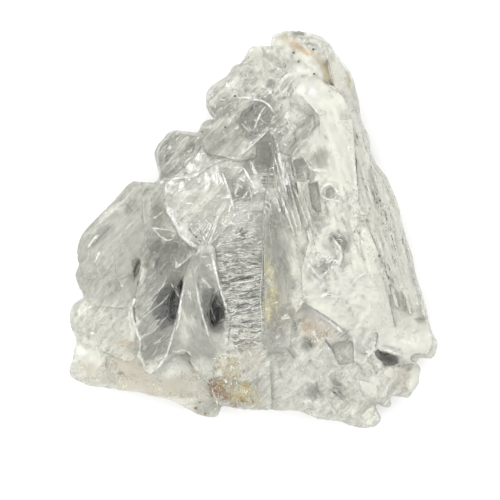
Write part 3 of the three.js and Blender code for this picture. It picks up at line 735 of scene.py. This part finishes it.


# White cracks, and painted highlights along crests: width, strength, then px and py of each point that they
# run through.
WHITE_CRACK_AND_HIGHLIGHT_LINES = [
    (4, 0.8, 88, 249, 92, 242, 97, 237, 100, 234), (2, 0.6, 90, 252, 96, 247),
    (3, 0.9, 95, 262, 99, 256, 101, 251), (6, 0.35, 152, 190, 151, 200, 149, 212, 148, 220),
    (1.8, 0.9, 154, 219, 160, 215, 164, 211), (1.6, 0.5, 154, 226, 158, 223, 161, 220),
    (7, 1, 167, 203, 169, 209, 173, 216, 176, 222, 182, 234, 188, 240, 195, 246, 200, 249),
    (6, 1, 184, 237, 190, 243, 198, 249), (4, 0.9, 172, 214, 178, 226, 185, 236),
    (3, 0.6, 177, 219, 182, 224, 187, 228, 190, 231),
    (2.2, 0.8, 152, 228, 157, 232, 162, 237, 168, 240, 173, 239, 177, 236),
    (2.2, 0.8, 152, 228, 160, 229, 168, 230, 173, 230),
    (3, 0.9, 160, 177, 166, 179.5, 175, 179.5, 185, 178, 195, 176, 202, 172, 210, 167),
    (2.6, 0.7, 210, 245, 222, 232, 234, 219, 242, 212, 252, 210, 262, 209),
    (2, 0.8, 160, 190, 166, 186, 171, 182, 176, 179), (2, 0.8, 163, 190, 170, 185),
    (1.8, 0.9, 196, 186, 199, 183, 201, 181),
    (3, 0.6, 206, 170, 212, 165, 220, 161, 230, 159, 238, 160, 242, 164),
    (2, 0.6, 162, 170, 170, 162, 178, 154), (2, 0.7, 167, 174, 175, 165, 182, 157),
    (1.6, 0.6, 171, 172, 179, 164),
    (3, 0.9, 138, 285, 137, 294, 134, 303, 132, 308, 133, 316, 136, 325, 138, 333, 141, 340, 140, 350,
     139, 357, 144, 362, 147, 368),
    (3, 0.8, 150, 377, 156, 370, 162, 362, 168, 352, 172, 338, 177, 322, 179, 310, 181, 300, 184, 288,
     187, 276), (2, 0.65, 140, 320, 155, 308, 165, 300, 172, 291), (1.6, 0.6, 141, 316, 150, 307, 160, 293),
    (1.8, 0.4, 145, 338, 152, 331, 160, 325, 166, 318), (2, 0.7, 158, 292, 163, 286, 166, 280, 168, 274),
    (2, 0.4, 160, 270, 172, 258), (2, 0.5, 175, 283, 178, 290, 180, 298),
    (2.6, 0.95, 175, 257, 177, 263, 177, 268, 180, 266, 186, 261, 192, 256, 200, 249),
    (2, 0.6, 200, 262, 197, 268, 195, 274), (2, 0.6, 200, 255, 205, 257, 210, 255),
    (1.6, 0.8, 206, 267, 209, 264, 211, 266),
    (3.6, 0.9, 212, 250, 214, 262, 217, 275, 220, 285, 223, 295, 226, 305, 228, 314),
    (3, 0.6, 196, 280, 198, 290, 200, 302, 203, 314, 207, 328, 212, 343),
    (3.6, 0.7, 187, 277, 183, 292, 181, 305, 180, 318, 176, 330, 173, 342),
    (2, 0.8, 263.5, 213, 264, 230, 263, 250, 262, 270, 260, 290, 261, 312, 262, 330, 264, 345),
    (3, 0.9, 222, 172, 226, 183, 230, 195, 233, 207, 236, 215),
    (3, 0.9, 243, 168, 247, 175, 251, 182, 256, 188), (2.2, 0.9, 262, 188, 267, 193, 271, 198),
    (2, 0.5, 249, 186, 251, 196, 253, 208), (2, 0.6, 262, 206, 266, 202, 270, 206, 271, 215),
    (3, 0.8, 222, 205, 213, 235, 205, 250), (2.2, 0.6, 240, 83, 243, 80, 250, 79, 258, 78.5),
    (2, 0.7, 242, 84, 241, 90, 243, 95), (2, 0.7, 264, 88, 270, 94, 275, 100),
    (2, 0.6, 273, 72, 276, 82, 280, 92), (2.4, 0.9, 267, 106, 262, 112, 258, 120, 255, 128, 253, 133),
    (2.8, 1, 241, 124, 246, 129, 251, 133), (2, 0.8, 276, 125, 262, 137, 250, 148, 240, 157, 234, 157),
    (2, 0.5, 243, 136, 247, 142, 252, 150, 256, 158),
    (3, 0.8, 276, 140, 278, 150, 279, 160, 282, 172, 284, 185, 287, 200),
    (2, 0.7, 272, 150, 276, 165, 280, 180, 284, 195, 289, 208),
    (2.2, 0.7, 285, 165, 288, 180, 292, 196, 297, 212, 301, 228),
    (3, 1, 300, 155, 304, 162, 308, 168, 312, 171), (2, 0.8, 312, 169, 320, 171, 328, 173),
    (2.2, 0.9, 302, 170, 305, 178, 309, 184), (2, 0.8, 309, 185, 314, 183, 318, 180),
    (1.8, 0.8, 260, 174.5, 268, 175, 275, 176),
    (2.5, 0.9, 318, 193, 322, 188, 328, 185, 334, 190, 338, 198),
    (2.5, 0.9, 318, 193, 322, 198, 330, 201, 338, 202, 342, 207),
    (4, 0.7, 345, 182, 350, 186, 354, 190, 356, 195, 352, 201, 349, 205, 352, 211, 358, 214, 365, 215),
    (2.4, 0.5, 348, 180, 350, 170, 352, 164, 356, 168, 359, 178, 360, 182),
    (3, 1, 332, 238, 335, 243, 339, 248, 340, 251), (2.5, 0.9, 310, 266, 314, 272, 319, 277, 326, 281),
    (2, 0.9, 320, 276, 328, 270, 334, 265), (2.2, 0.9, 340, 251, 340, 258, 337, 265, 342, 262),
    (2, 0.6, 340, 252, 348, 246, 357, 240), (2, 0.7, 368, 235, 369, 240),
    (1.6, 0.6, 388, 235, 390, 240, 392, 245), (3, 0.8, 350, 283, 356, 277, 362, 273, 366, 272),
    (4, 0.8, 378, 347, 388, 350, 400, 354, 410, 357), (2, 0.8, 364, 338, 370, 333),
    (2.6, 0.7, 343, 352, 349, 345, 356, 338), (3, 0.8, 362, 362, 369, 353, 376, 345),
    (2, 0.8, 173, 349, 178, 351, 184, 349, 190, 352, 194, 356), (2, 0.7, 160, 373, 168, 379, 173, 376),
    (1.8, 0.7, 178, 362, 177, 368, 178, 374), (2, 0.8, 248, 348, 252, 356),
    (2, 0.4, 372, 298, 378, 300, 384, 307, 382, 316),
    (4, 0.75, 303, 305, 314, 311, 326, 319, 338, 328, 348, 337),
    (3.4, 0.75, 302, 101, 311, 109, 318, 118, 313, 127, 302, 138), (2.4, 0.9, 322, 126, 326, 132, 329, 138),
    (2, 0.8, 284, 112, 292, 118, 298, 124), (2, 0.8, 285, 126, 290, 131, 295, 134),
    (2, 0.7, 300, 120, 303, 128, 306, 134), (3, 0.8, 230, 100, 244, 99, 256, 101, 268, 106, 276, 118),
    (2, 0.7, 224, 84, 230, 88, 238, 87), (2, 0.7, 226, 92, 233, 94, 240, 96),
    (3.4, 1, 302, 157, 306, 166, 312, 171, 324, 174), (3, 0.8, 208, 165, 220, 160, 232, 159, 240, 163),
    (2, 0.6, 268, 70, 274, 80, 279, 92), (2, 0.35, 398, 352, 394, 342, 399, 332, 410, 327),
    (2, 0.35, 406, 350, 404, 342, 408, 334),
]

# Fans and rows of fine strokes: the first and last stroke's middle, how many, direction, length, width
# and strength.
# These strokes are white breaks, partly painted highlights.
WHITE_STROKE_AND_HIGHLIGHT_COMBS = [
    (221, 209, 236, 223, 7, 47, 15, 1.2, 0.7), (182, 222, 200, 238, 8, 38, 8, 1.4, 0.95),
    (188, 238, 208, 222, 7, -40, 10, 1.4, 0.95), (200, 228, 214, 226, 7, 62, 13, 1.5, 1),
    (262, 176, 263, 186, 4, -4, 13, 1.1, 0.8), (170, 170, 192, 158, 7, 47, 18, 1.2, 0.7),
    (276, 170, 296, 178, 6, 102, 34, 1.2, 0.8), (280, 196, 300, 206, 6, 106, 30, 1.1, 0.75),
    (145, 336, 166, 318, 8, 45, 16, 1.1, 0.55), (150, 300, 164, 286, 6, 42, 16, 1.1, 0.5),
    (362, 344, 376, 356, 7, 132, 12, 1.2, 0.8), (262, 346, 268, 366, 8, 20, 7, 1, 0.6),
    (310, 316, 348, 340, 14, 46, 9, 1.2, 0.9), (246, 216, 262, 216, 5, 100, 9, 0.9, 0.6),
]
# Painted shade: the same for dark strokes in the gaps where the clear stone is looked into.
PAINTED_SHADE_COMBS = [
    (260, 279, 262, 300, 10, 38, 6, 1.2, 0.85), (262, 330, 264, 348, 8, -22, 6, 1.1, 0.6),
    (238, 229, 246, 239, 8, 48, 10, 0.9, 0.6), (166, 166, 184, 154, 6, 47, 14, 1.1, 0.5),
    (263, 178, 264, 188, 4, -4, 12, 1.1, 0.6), (343, 262, 343, 279, 7, 18, 7, 1.1, 0.6),
    (303, 296, 309, 309, 6, 32, 7, 1.1, 0.55), (293, 318, 297, 335, 8, 22, 7, 1.1, 0.55),
    (312, 313, 346, 336, 14, 48, 8, 1.2, 0.55), (304, 318, 326, 336, 9, 80, 9, 1.1, 0.45),
    (339, 326, 348, 338, 6, 44, 7, 1.1, 0.5), (191, 231, 200, 240, 4, -50, 6, 2.6, 0.9),
    (184, 226, 206, 230, 5, 40, 4, 1.6, 0.6), (206, 226, 210, 233, 3, 60, 5, 1.4, 0.5),
    (284, 180, 291, 200, 3, 104, 14, 1.4, 0.6), (404, 250, 418, 310, 3, 106, 34, 1.4, 0.25),
    (222, 282, 232, 288, 4, -14, 10, 1.4, 0.7), (376, 350, 392, 360, 6, 140, 8, 1.3, 0.6),
]
# Curved white breaks round a middle, drawn with the white cracks and painted highlights: radius, first and
# last direction, width and strength.
ARCS = [
    (258, 218, 9, 20, 150, 1.1, 0.8), (258, 218, 12, 10, 150, 1.1, 0.8), (258, 219, 15, 15, 140, 1.1, 0.8),
    (258, 220, 18, 25, 130, 1, 0.6), (415, 342, 12, 100, 250, 2, 0.4), (415, 342, 16, 110, 240, 2, 0.4),
    (415, 342, 21, 120, 235, 2, 0.4), (206, 188, 22, 190, 260, 1.4, 0.5),
    (206, 188, 27, 195, 255, 1.4, 0.5), (200, 214, 16, 20, 110, 1.3, 0.5),
    (184, 210, 12, 300, 400, 1.3, 0.5), (336, 250, 10, 40, 200, 1.4, 0.7),
    (336, 250, 15, 50, 180, 1.4, 0.7), (322, 232, 12, 100, 250, 1.4, 0.7),
    (318, 290, 11, 30, 170, 1.4, 0.6), (352, 300, 13, 60, 200, 1.4, 0.6), (352, 300, 18, 70, 190, 1.4, 0.6),
    (310, 360, 12, 40, 180, 1.4, 0.6), (340, 372, 14, 150, 300, 1.4, 0.6),
    (268, 112, 12, 200, 320, 1.3, 0.7), (246, 98, 11, 20, 160, 1.3, 0.6),
]

# Painted shade: dark strokes in the gaps beside them, where the clear stone is looked into, in the same form.
PAINTED_SHADE_LINES = [
    (2.6, 0.8, 141, 259, 137, 266, 135, 272, 134.5, 279), (2, 0.6, 141, 267, 138, 273, 135, 278),
    (2, 0.6, 165, 160, 172, 152), (1.8, 0.5, 162, 168, 170, 158, 176, 150), (1.8, 0.5, 170, 175, 178, 166),
    (2.2, 0.5, 243, 118, 252, 110, 260, 104), (2, 0.45, 262, 118, 271, 109),
    (2.4, 0.9, 221, 281, 230, 280, 240, 279, 250, 277, 262, 278.5),
    (2.2, 0.7, 222, 284, 228, 287, 236, 287), (4, 0.6, 246, 262, 251, 264, 255, 263),
    (3.4, 0.9, 247, 277, 252, 276.5), (3, 0.9, 250, 326, 254, 327), (3, 0.5, 236, 272, 240, 275),
    (4, 0.6, 229, 309, 238, 307, 248, 303, 256, 305, 262, 301),
    (7, 0.2, 368, 165, 371, 182, 374, 200, 377, 215), (3, 0.25, 404, 246, 410, 270, 417, 296, 420, 318),
    (2, 0.5, 236, 238, 243, 234, 250, 230), (2, 0.4, 293, 320, 296, 326, 295, 332),
    (2, 0.4, 303, 298, 307, 303, 309, 308), (2.4, 0.4, 284, 345, 290, 352, 295, 358),
    (3, 0.45, 306, 338, 310, 344, 311, 350), (3, 0.45, 323, 338, 330, 346, 334, 355),
    (4, 0.6, 376, 350, 384, 354, 392, 358, 398, 363), (3, 0.4, 330, 232, 336, 241, 341, 249),
    (2.4, 0.4, 322, 137, 327, 142), (2.2, 0.5, 312, 275, 318, 280), (3, 0.3, 86, 252, 100, 238, 113, 224),
    (3, 0.3, 118, 208, 126, 204, 133, 214), (2, 0.4, 143, 198, 146, 191, 151, 190),
    (1.6, 0.3, 182, 360, 182, 380, 181, 400), (1.4, 0.6, 260, 177, 275, 178.5),
    (1.4, 0.5, 260, 180.5, 275, 182), (1.4, 0.5, 260, 184, 272, 185),
    (1.8, 0.35, 178, 226, 186, 236, 196, 244), (1.6, 0.4, 228, 190, 231, 200, 235, 211),
    (1.6, 0.45, 281, 168, 285, 186, 290, 204), (2, 0.4, 305, 160, 309, 167, 314, 172),
    (2, 0.4, 335, 240, 342, 255, 340, 266), (2, 0.4, 312, 270, 320, 278, 328, 280),
    (2, 0.5, 213, 306, 215, 297, 219, 290, 222, 302), (1.8, 0.35, 380, 344, 392, 347, 404, 351),
]

# Small feathers and facets by region: an oval without a turn, how many, their direction and its spread,
# the least and the greatest length, and how strong bright and dark ones are.
# The bright ones are white breaks with painted highlights on small facets; the dark ones are painted shade.
SCATTER = [
    (214, 200, 46, 36, 190, 40, 60, 3, 12, 0.9, 0.35), (268, 116, 34, 26, 170, 60, 80, 2, 8, 0.95, 0.4),
    (296, 128, 26, 34, 110, 80, 70, 2, 8, 1, 0.35), (190, 232, 20, 16, 70, -30, 60, 2, 7, 1, 0.45),
    (322, 266, 24, 18, 130, 30, 80, 2, 9, 1.1, 0.4), (344, 292, 30, 16, 60, 20, 60, 3, 9, 1.1, 0.25),
    (232, 90, 26, 20, 80, 60, 80, 3, 8, 0.85, 0.35), (178, 154, 20, 22, 45, 46, 18, 5, 14, 0.7, 0.4),
    (112, 244, 34, 44, 60, 60, 50, 5, 14, 0.45, 0.3), (96, 330, 28, 34, 90, 40, 70, 3, 10, 0.75, 0.3),
    (156, 312, 15, 52, 60, 48, 25, 5, 14, 0.6, 0.35), (168, 256, 18, 16, 26, 48, 12, 6, 14, 0.3, 0.4),
    (204, 300, 14, 50, 36, 105, 20, 6, 20, 0.55, 0.3), (243, 300, 17, 48, 110, 14, 50, 2, 6, 1, 0.9),
    (278, 250, 12, 64, 30, 100, 14, 8, 26, 0.5, 0.25), (330, 240, 32, 54, 220, 70, 70, 2, 8, 0.8, 0.35),
    (338, 300, 40, 20, 70, 30, 60, 4, 11, 0.6, 0.3), (330, 368, 54, 36, 150, 120, 30, 3, 13, 0.75, 0.3),
    (240, 374, 28, 32, 130, 60, 80, 2, 6, 0.9, 0.4), (140, 374, 70, 18, 110, 20, 70, 2, 8, 0.7, 0.2),
    (302, 54, 30, 18, 60, 50, 70, 3, 8, 0.7, 0.25), (280, 78, 34, 16, 70, 40, 80, 2, 8, 0.95, 0.35),
    (336, 140, 18, 44, 26, 100, 30, 4, 12, 0.4, 0.2), (392, 376, 24, 16, 50, 120, 50, 3, 8, 0.7, 0.4),
    (364, 350, 20, 14, 50, 132, 16, 5, 13, 0.85, 0.5), (412, 342, 20, 15, 18, 70, 60, 4, 9, 0.4, 0.15),
    (360, 412, 24, 12, 40, 140, 40, 3, 8, 0.6, 0.35), (384, 235, 14, 84, 26, 108, 3, 16, 44, 0.3, 0.12),
    (352, 96, 8, 30, 14, 110, 6, 10, 26, 0.3, 0.2), (284, 186, 12, 34, 46, 104, 10, 8, 22, 0.7, 0.4),
    (286, 330, 10, 26, 34, 40, 30, 4, 12, 0.6, 0.4), (250, 240, 170, 190, 700, 60, 160, 1.5, 4, 1, 0.3),
    (320, 300, 50, 26, 60, 20, 70, 2, 9, 1, 0.3),
]
BRIGHT_SHARE = 0.68
FACET_SHARE = 0.4
LONGEST_FACET = 20
SPECKS = [
    (293, 55), (298, 63.5), (312.5, 51.5), (313.5, 76), (235, 97.5), (225.5, 128.5), (202.5, 133),
    (378.5, 201), (377, 256),
]
BLACK_GRAINS = [((175.5, 301), (3.2, 9), -6), ((214.5, 315), (4.6, 7.5), 12)]
# The dark matter round the grains: soft stains, then jagged tongues.
BLACK_STAINS = [
    (168, 303, 12, 22, -14, 0.7, DARK), (172, 300, 8, 14, -8, 0.7, DARK),
    (176.5, 300, 5, 12, -6, 1.0, BLACK), (174, 311, 4, 12, -12, 0.7, BLACK),
    (170, 300, 4, 9, -20, 0.6, BLACK), (182, 286, 2.4, 6.5, 8, 1.0, BLACK),
    (209, 312, 7, 17, 10, 0.5, DARK), (214.5, 315, 6.4, 9.5, 12, 1.0, BLACK),
    (222, 312, 4, 8, 0, 0.5, DARK), (212, 324, 2.4, 5, 16, 0.9, BLACK), (214, 296, 3, 9, 4, 0.5, DARK),
    (222, 300, 3, 9, 10, 0.45, DARK), (166, 318, 5, 9, -20, 0.35, DARK), (207, 296, 5, 12, 8, 0.3, DARK),
]
BLACK_TONGUES = [
    (3, 1, 171, 290, 176, 296, 179, 306), (3, 0.9, 168, 296, 174, 303, 177, 312),
    (3, 0.9, 170, 309, 175, 307, 180, 311), (2, 0.9, 177, 284, 180, 292, 181, 300),
    (3, 1, 180, 292, 183, 286, 184, 280), (3, 0.9, 208, 316, 211, 308, 215, 300),
    (3, 1, 211, 325, 213, 318, 214, 308), (3, 1, 217, 322, 219, 314, 218, 306),
    (2, 0.8, 221, 318, 224, 312, 222, 305), (2, 0.7, 209, 306, 212, 298, 214, 292),
    (1.8, 0.7, 213, 296, 214, 291, 217, 288), (1.8, 0.6, 220, 296, 223, 302, 223, 308),
    (2, 0.5, 162, 306, 168, 303, 173, 300), (2, 0.5, 163, 314, 169, 311, 175, 306),
]
WHITE_OVER_BLACK = [
    (1.3, 0.9, 211, 304, 213, 312, 216, 321), (2.2, 0.8, 172, 283, 176, 290, 180, 298),
    (2, 0.55, 217, 290, 215, 296, 217, 302, 221, 306), (2.4, 0.9, 182, 296, 181, 306, 179, 316),
    (1.3, 0.5, 163, 300, 169, 295, 175, 289), (1.6, 0.6, 220, 318, 222, 321, 225, 318),
]


def place_in(cx, cy, a, b, reach=1.0):
    """A random place in an oval."""
    turn, out = rng.uniform(0, 2 * math.pi), math.sqrt(rng.random()) * reach
    return cx + a * out * math.cos(turn), cy + b * out * math.sin(turn)


def scatter(white_and_highlight_marks, painted_shade_marks):
    for *region, count, angle, spread, least, most, bright_strength, dark_strength in SCATTER:
        for _ in range(count):
            px, py = place_in(*region, 1.05)
            if any(math.hypot((px - x) / a, (py - y) / b) < 0.9 for x, y, a, b, *_ in BLACK_STAINS):
                continue
            way = angle + rng.gauss(0, 0.5) * spread
            length = rng.uniform(least, most)
            # Bright marks are white breaks with painted highlights; the rest are painted shade in grey.
            lit = rng.random() < BRIGHT_SHARE
            marks, tint = (white_and_highlight_marks, WHITE) if lit else (painted_shade_marks, GREY)
            strength = (bright_strength if lit else dark_strength) * rng.uniform(0.45, 1.15)
            if rng.random() < FACET_SHARE and length < LONGEST_FACET:
                facet(marks, px, py, length * 0.8, way + rng.uniform(-25, 25), strength * 0.8, tint)
                continue
            c, s = direction(way)
            bend = rng.gauss(0, 0.09) * length
            ends = [(px + u * length * c - w * s, py - u * length * s - w * c)
                    for u, w in ((-0.5, 0), (0, bend), (0.5, 0))]
            ribbon(marks, ends, rng.uniform(0.9, 2.3), strength, tint,
                   EDGE_PROFILE if rng.random() < 0.3 else None)


FIBRE_LEFT_X = (226, 220, 213, 219, 227, 229, 232)
FIBRE_LEFT_Y = (204, 228, 252, 280, 306, 326, 345)
FIBRE_RIGHT_X = 262.5
FIBRE_TOP_Y = 203
FIBRE_FOOT_Y = 346
FIBRE_STEP = 1.1
SHORTEST_FIBRE = 3.5


def fibres(white_and_highlight_marks, painted_shade_marks):
    """Wavy fibres across the torn face beside the seam: white fibres, and between them painted shade that is
    crisper and stronger towards its foot.
    """
    for k in range(int((FIBRE_FOOT_Y - FIBRE_TOP_Y) / FIBRE_STEP)):
        level = FIBRE_TOP_Y + FIBRE_STEP * k
        # How much stronger the painted shade between the fibres is, growing towards the foot.
        depth = smooth((level - 240) / 25)
        x = float(np.interp(level, FIBRE_LEFT_Y, FIBRE_LEFT_X)) + rng.uniform(0, 3)
        while x < FIBRE_RIGHT_X - SHORTEST_FIBRE:
            end = min(x + rng.uniform(3, 11), FIBRE_RIGHT_X)
            line = []
            for px in np.linspace(x, end, 4):
                wave = 3.4 * noise_at(px / 9, level / 9, 3)
                ripple = 1.6 * noise_at(px / 3, level / 4, 6)
                line.append((px, level - 0.09 * (px - 243) + (wave + ripple)))
            lit = rng.random() < 0.55
            band = 0.55 + 0.9 * max(0.0, noise_at(x / 20, level / 6, 1) + 0.3)
            strength = rng.uniform(0.5, 1.1) * (1.15 if lit else 1.6 * depth * band)
            ribbon(white_and_highlight_marks if lit else painted_shade_marks, line, rng.uniform(0.7, 1.5), strength, WHITE if lit else DARK)
            x = end + rng.uniform(0, 3)


def comb(marks, first_x, first_y, last_x, last_y, count, angle, length, width, strength, tint):
    c, s = direction(angle)
    for k in range(count):
        t = k / (count - 1)
        x = first_x + (last_x - first_x) * t + rng.uniform(-0.5, 0.5)
        y = first_y + (last_y - first_y) * t + rng.uniform(-0.5, 0.5)
        half, bend = 0.5 * length * rng.uniform(0.7, 1.2), rng.gauss(0, 0.06) * length
        ends = [(x - half * c, y + half * s), (x - bend * s, y - bend * c), (x + half * c, y - half * s)]
        ribbon(marks, ends, width * rng.uniform(0.8, 1.3), strength * rng.uniform(0.7, 1.1), tint)


def arc(marks, cx, cy, radius, first, last, width, strength, tint):
    turns = np.radians(np.linspace(first, last, 6))
    reach = radius * (1 + 0.08 * np.sin(3 * turns + radius))
    line = list(zip(cx + reach * np.cos(turns), cy - reach * np.sin(turns)))
    ribbon(marks, line, width, strength, tint)


def ribbons(marks, lines, tint):
    for width, strength, *places in lines:
        ribbon(marks, list(zip(places[::2], places[1::2])), width, strength, tint)


# Bright marks are white cracks with painted highlights, dark marks are painted shade, and the third set holds
# real stains with some painted light and shade.
white_and_highlight_marks, painted_shade_marks, stain_and_light_shade_marks = Marks(0.06 * MM), Marks(0.08 * MM), Marks(0.1 * MM)
ribbons(white_and_highlight_marks, WHITE_CRACK_AND_HIGHLIGHT_LINES, WHITE)
ribbons(painted_shade_marks, PAINTED_SHADE_LINES, DARK)
for row in WHITE_STROKE_AND_HIGHLIGHT_COMBS:
    comb(white_and_highlight_marks, *row, WHITE)
for row in PAINTED_SHADE_COMBS:
    comb(painted_shade_marks, *row, DARK)
for row in ARCS:
    arc(white_and_highlight_marks, *row, WHITE)
fibres(white_and_highlight_marks, painted_shade_marks)
scatter(white_and_highlight_marks, painted_shade_marks)
# Real stains, with painted light in hollows and creases and painted shade over clear windows.
for stain in STAINS_AND_PAINTED_LIGHT_SHADE:
    patch(stain_and_light_shade_marks, *stain)
for *crust, count, colours in CRUSTS:
    for _ in range(count):
        grain_oval = (*place_in(*crust), rng.uniform(0.8, 2.6), rng.uniform(0.6, 1.5))
        patch(stain_and_light_shade_marks, *grain_oval, rng.uniform(0, 180), rng.uniform(0.4, 0.9), rng.choice(colours))
black, over_black = Marks(0.1 * MM), Marks(0.04 * MM)
for stain in BLACK_STAINS:
    patch(black, *stain)
ribbons(black, BLACK_TONGUES, BLACK)
ribbons(over_black, WHITE_OVER_BLACK, WHITE)
# Built pieces: white cracks with painted highlights, painted shade, and stains with some painted light and
# shade.
white_and_highlight_marks.build("white_breaks_and_painted_highlights", thin_marks("white_break_and_painted_highlight", 0.45))
painted_shade_marks.build("painted_shade_gaps", thin_marks("painted_shade_gap", 0.4))
stain_and_light_shade_marks.build("stain_and_light_shade_marks", thin_marks("stain_and_painted_light_shade", 0.6))
black.build("black_inclusions", thin_marks("black_matter", 0.4, 1.0))
over_black.build("bright_threads", thin_marks("bright_thread", 0.45))


# Dark grains: two under the clear surface, and single specks on it.

SPECK_RADIUS = 0.22 * MM
GRAIN_HALF_THICKNESS = 0.5 * MM
GRAIN_COVER = 0.35 * MM


def grain(bm, middle, radii, turn):
    """A lumpy grain: a ball with uneven half axes, pushed about by noise."""
    made = bmesh.ops.create_icosphere(bm, subdivisions=3, radius=1.0)
    c, s = direction(turn)
    for vertex in made["verts"]:
        way = vertex.co.copy()
        out = 1 + 0.35 * noise.noise(way * 1.6 + Vector(middle) / MM) + 0.15 * noise.noise(way * 4)
        x, y, z = way.x * radii[0] * out, way.y * radii[1] * out, way.z * radii[2] * out
        vertex.co = (middle[0] + x * c - y * s, middle[1] + x * s + y * c, middle[2] + z)


def dark_grains():
    bm = bmesh.new()
    for (px, py), (a, b), turn in BLACK_GRAINS:
        hit = surface_at(px, py)
        level = hit.z - GRAIN_HALF_THICKNESS - GRAIN_COVER
        grain(bm, (hit.x, hit.y, level), (a * PX, b * PX, GRAIN_HALF_THICKNESS), turn)
    for px, py in SPECKS:
        hit = surface_at(px, py)
        grain(bm, (hit.x, hit.y, hit.z + 0.1 * SPECK_RADIUS), (SPECK_RADIUS,) * 3, 0)
    mesh = mesh_from(bm, "dark_grains")
    mesh.shade_smooth()
    mesh.materials.append(dark_mineral())
    add_piece("dark_grains", mesh)


dark_grains()


# Floor, light and camera.

FLOOR_SIDE = 6.0
FLOOR_GAP = 0.15 * MM

# The lights' places, sizes and powers.
LIGHTS = {
    "key_light": ((-0.55, 0.6, 0.85), 0.5, 6.0),
    "fill_light": ((0.7, -0.4, 0.6), 0.6, 1.5),
}
LIGHT_AIM = Vector((0, 0, 0.01))

# The sky's strength by the height looked at. The ceiling right above, where a camera would be, is darker.
DOME_HEIGHTS = (-0.1, 0.85)
DOME_STRENGTHS = (1.0, 1.78)
CEILING_HEIGHTS = (0.93, 0.985)
CEILING_SHARE = 0.25


def floor():
    mesh = bpy.data.meshes.new("floor")
    half = FLOOR_SIDE / 2
    z = LOW.z - FLOOR_GAP
    mesh.from_pydata([(-half, -half, z), (half, -half, z), (half, half, z), (-half, half, z)], [],
                     [(0, 1, 2, 3)])
    material, tree = new_material("pale_floor")
    finish_surface(tree, {
        "Base Color": (0.9, 0.9, 0.9, 1), "Roughness": 0.9, "Specular IOR Level": 0.1,
    })
    mesh.materials.append(material)
    add_object("floor", mesh)


def area_light(name, position, size, power):
    light = bpy.data.lights.new(name, "AREA")
    light.shape = "DISK"
    light.size = size
    light.energy = power
    lamp = add_object(name, light)
    lamp.location = position
    lamp.rotation_euler = (LIGHT_AIM - Vector(position)).to_track_quat("-Z", "Y").to_euler()


def soft_world():
    world = bpy.data.worlds.new("soft_studio")
    world.use_nodes = True
    tree = world.node_tree
    tree.nodes.clear()
    ray = node(tree, "TexCoord").outputs["Generated"]
    height = node(tree, "SeparateXYZ", {"Vector": ray}).outputs["Z"]
    dome = mapped(tree, height, *DOME_HEIGHTS, *DOME_STRENGTHS)
    strength = product(tree, dome, mapped(tree, height, *CEILING_HEIGHTS, 1.0, CEILING_SHARE))
    background = node(tree, "Background", {"Color": (1, 1, 1, 1), "Strength": strength})
    node(tree, "OutputWorld", {"Surface": background.outputs[0]})
    bpy.context.scene.world = world


floor()
soft_world()
for light_name, light_values in LIGHTS.items():
    area_light(light_name, *light_values)

CAMERA_DISTANCE = 0.9
SILHOUETTE_LEVEL = 8 * MM
SENSOR = 36.0

camera_data = bpy.data.cameras.new("camera")
camera_data.sensor_width = SENSOR
camera_data.lens = SENSOR * (CAMERA_DISTANCE - SILHOUETTE_LEVEL) / (VIEW_SIDE_PX * PX)
camera_data.clip_start, camera_data.clip_end = 0.05, 20
camera = add_object("camera", camera_data)
camera.location = (*place(VIEW_SIDE_PX / 2, VIEW_SIDE_PX / 2), CAMERA_DISTANCE)

scene = bpy.context.scene
scene.camera = camera
scene.view_settings.view_transform = "Standard"
scene.cycles.transparent_max_bounces = 20
scene.cycles.adaptive_threshold = 0.03
scene.cycles.use_denoising = True
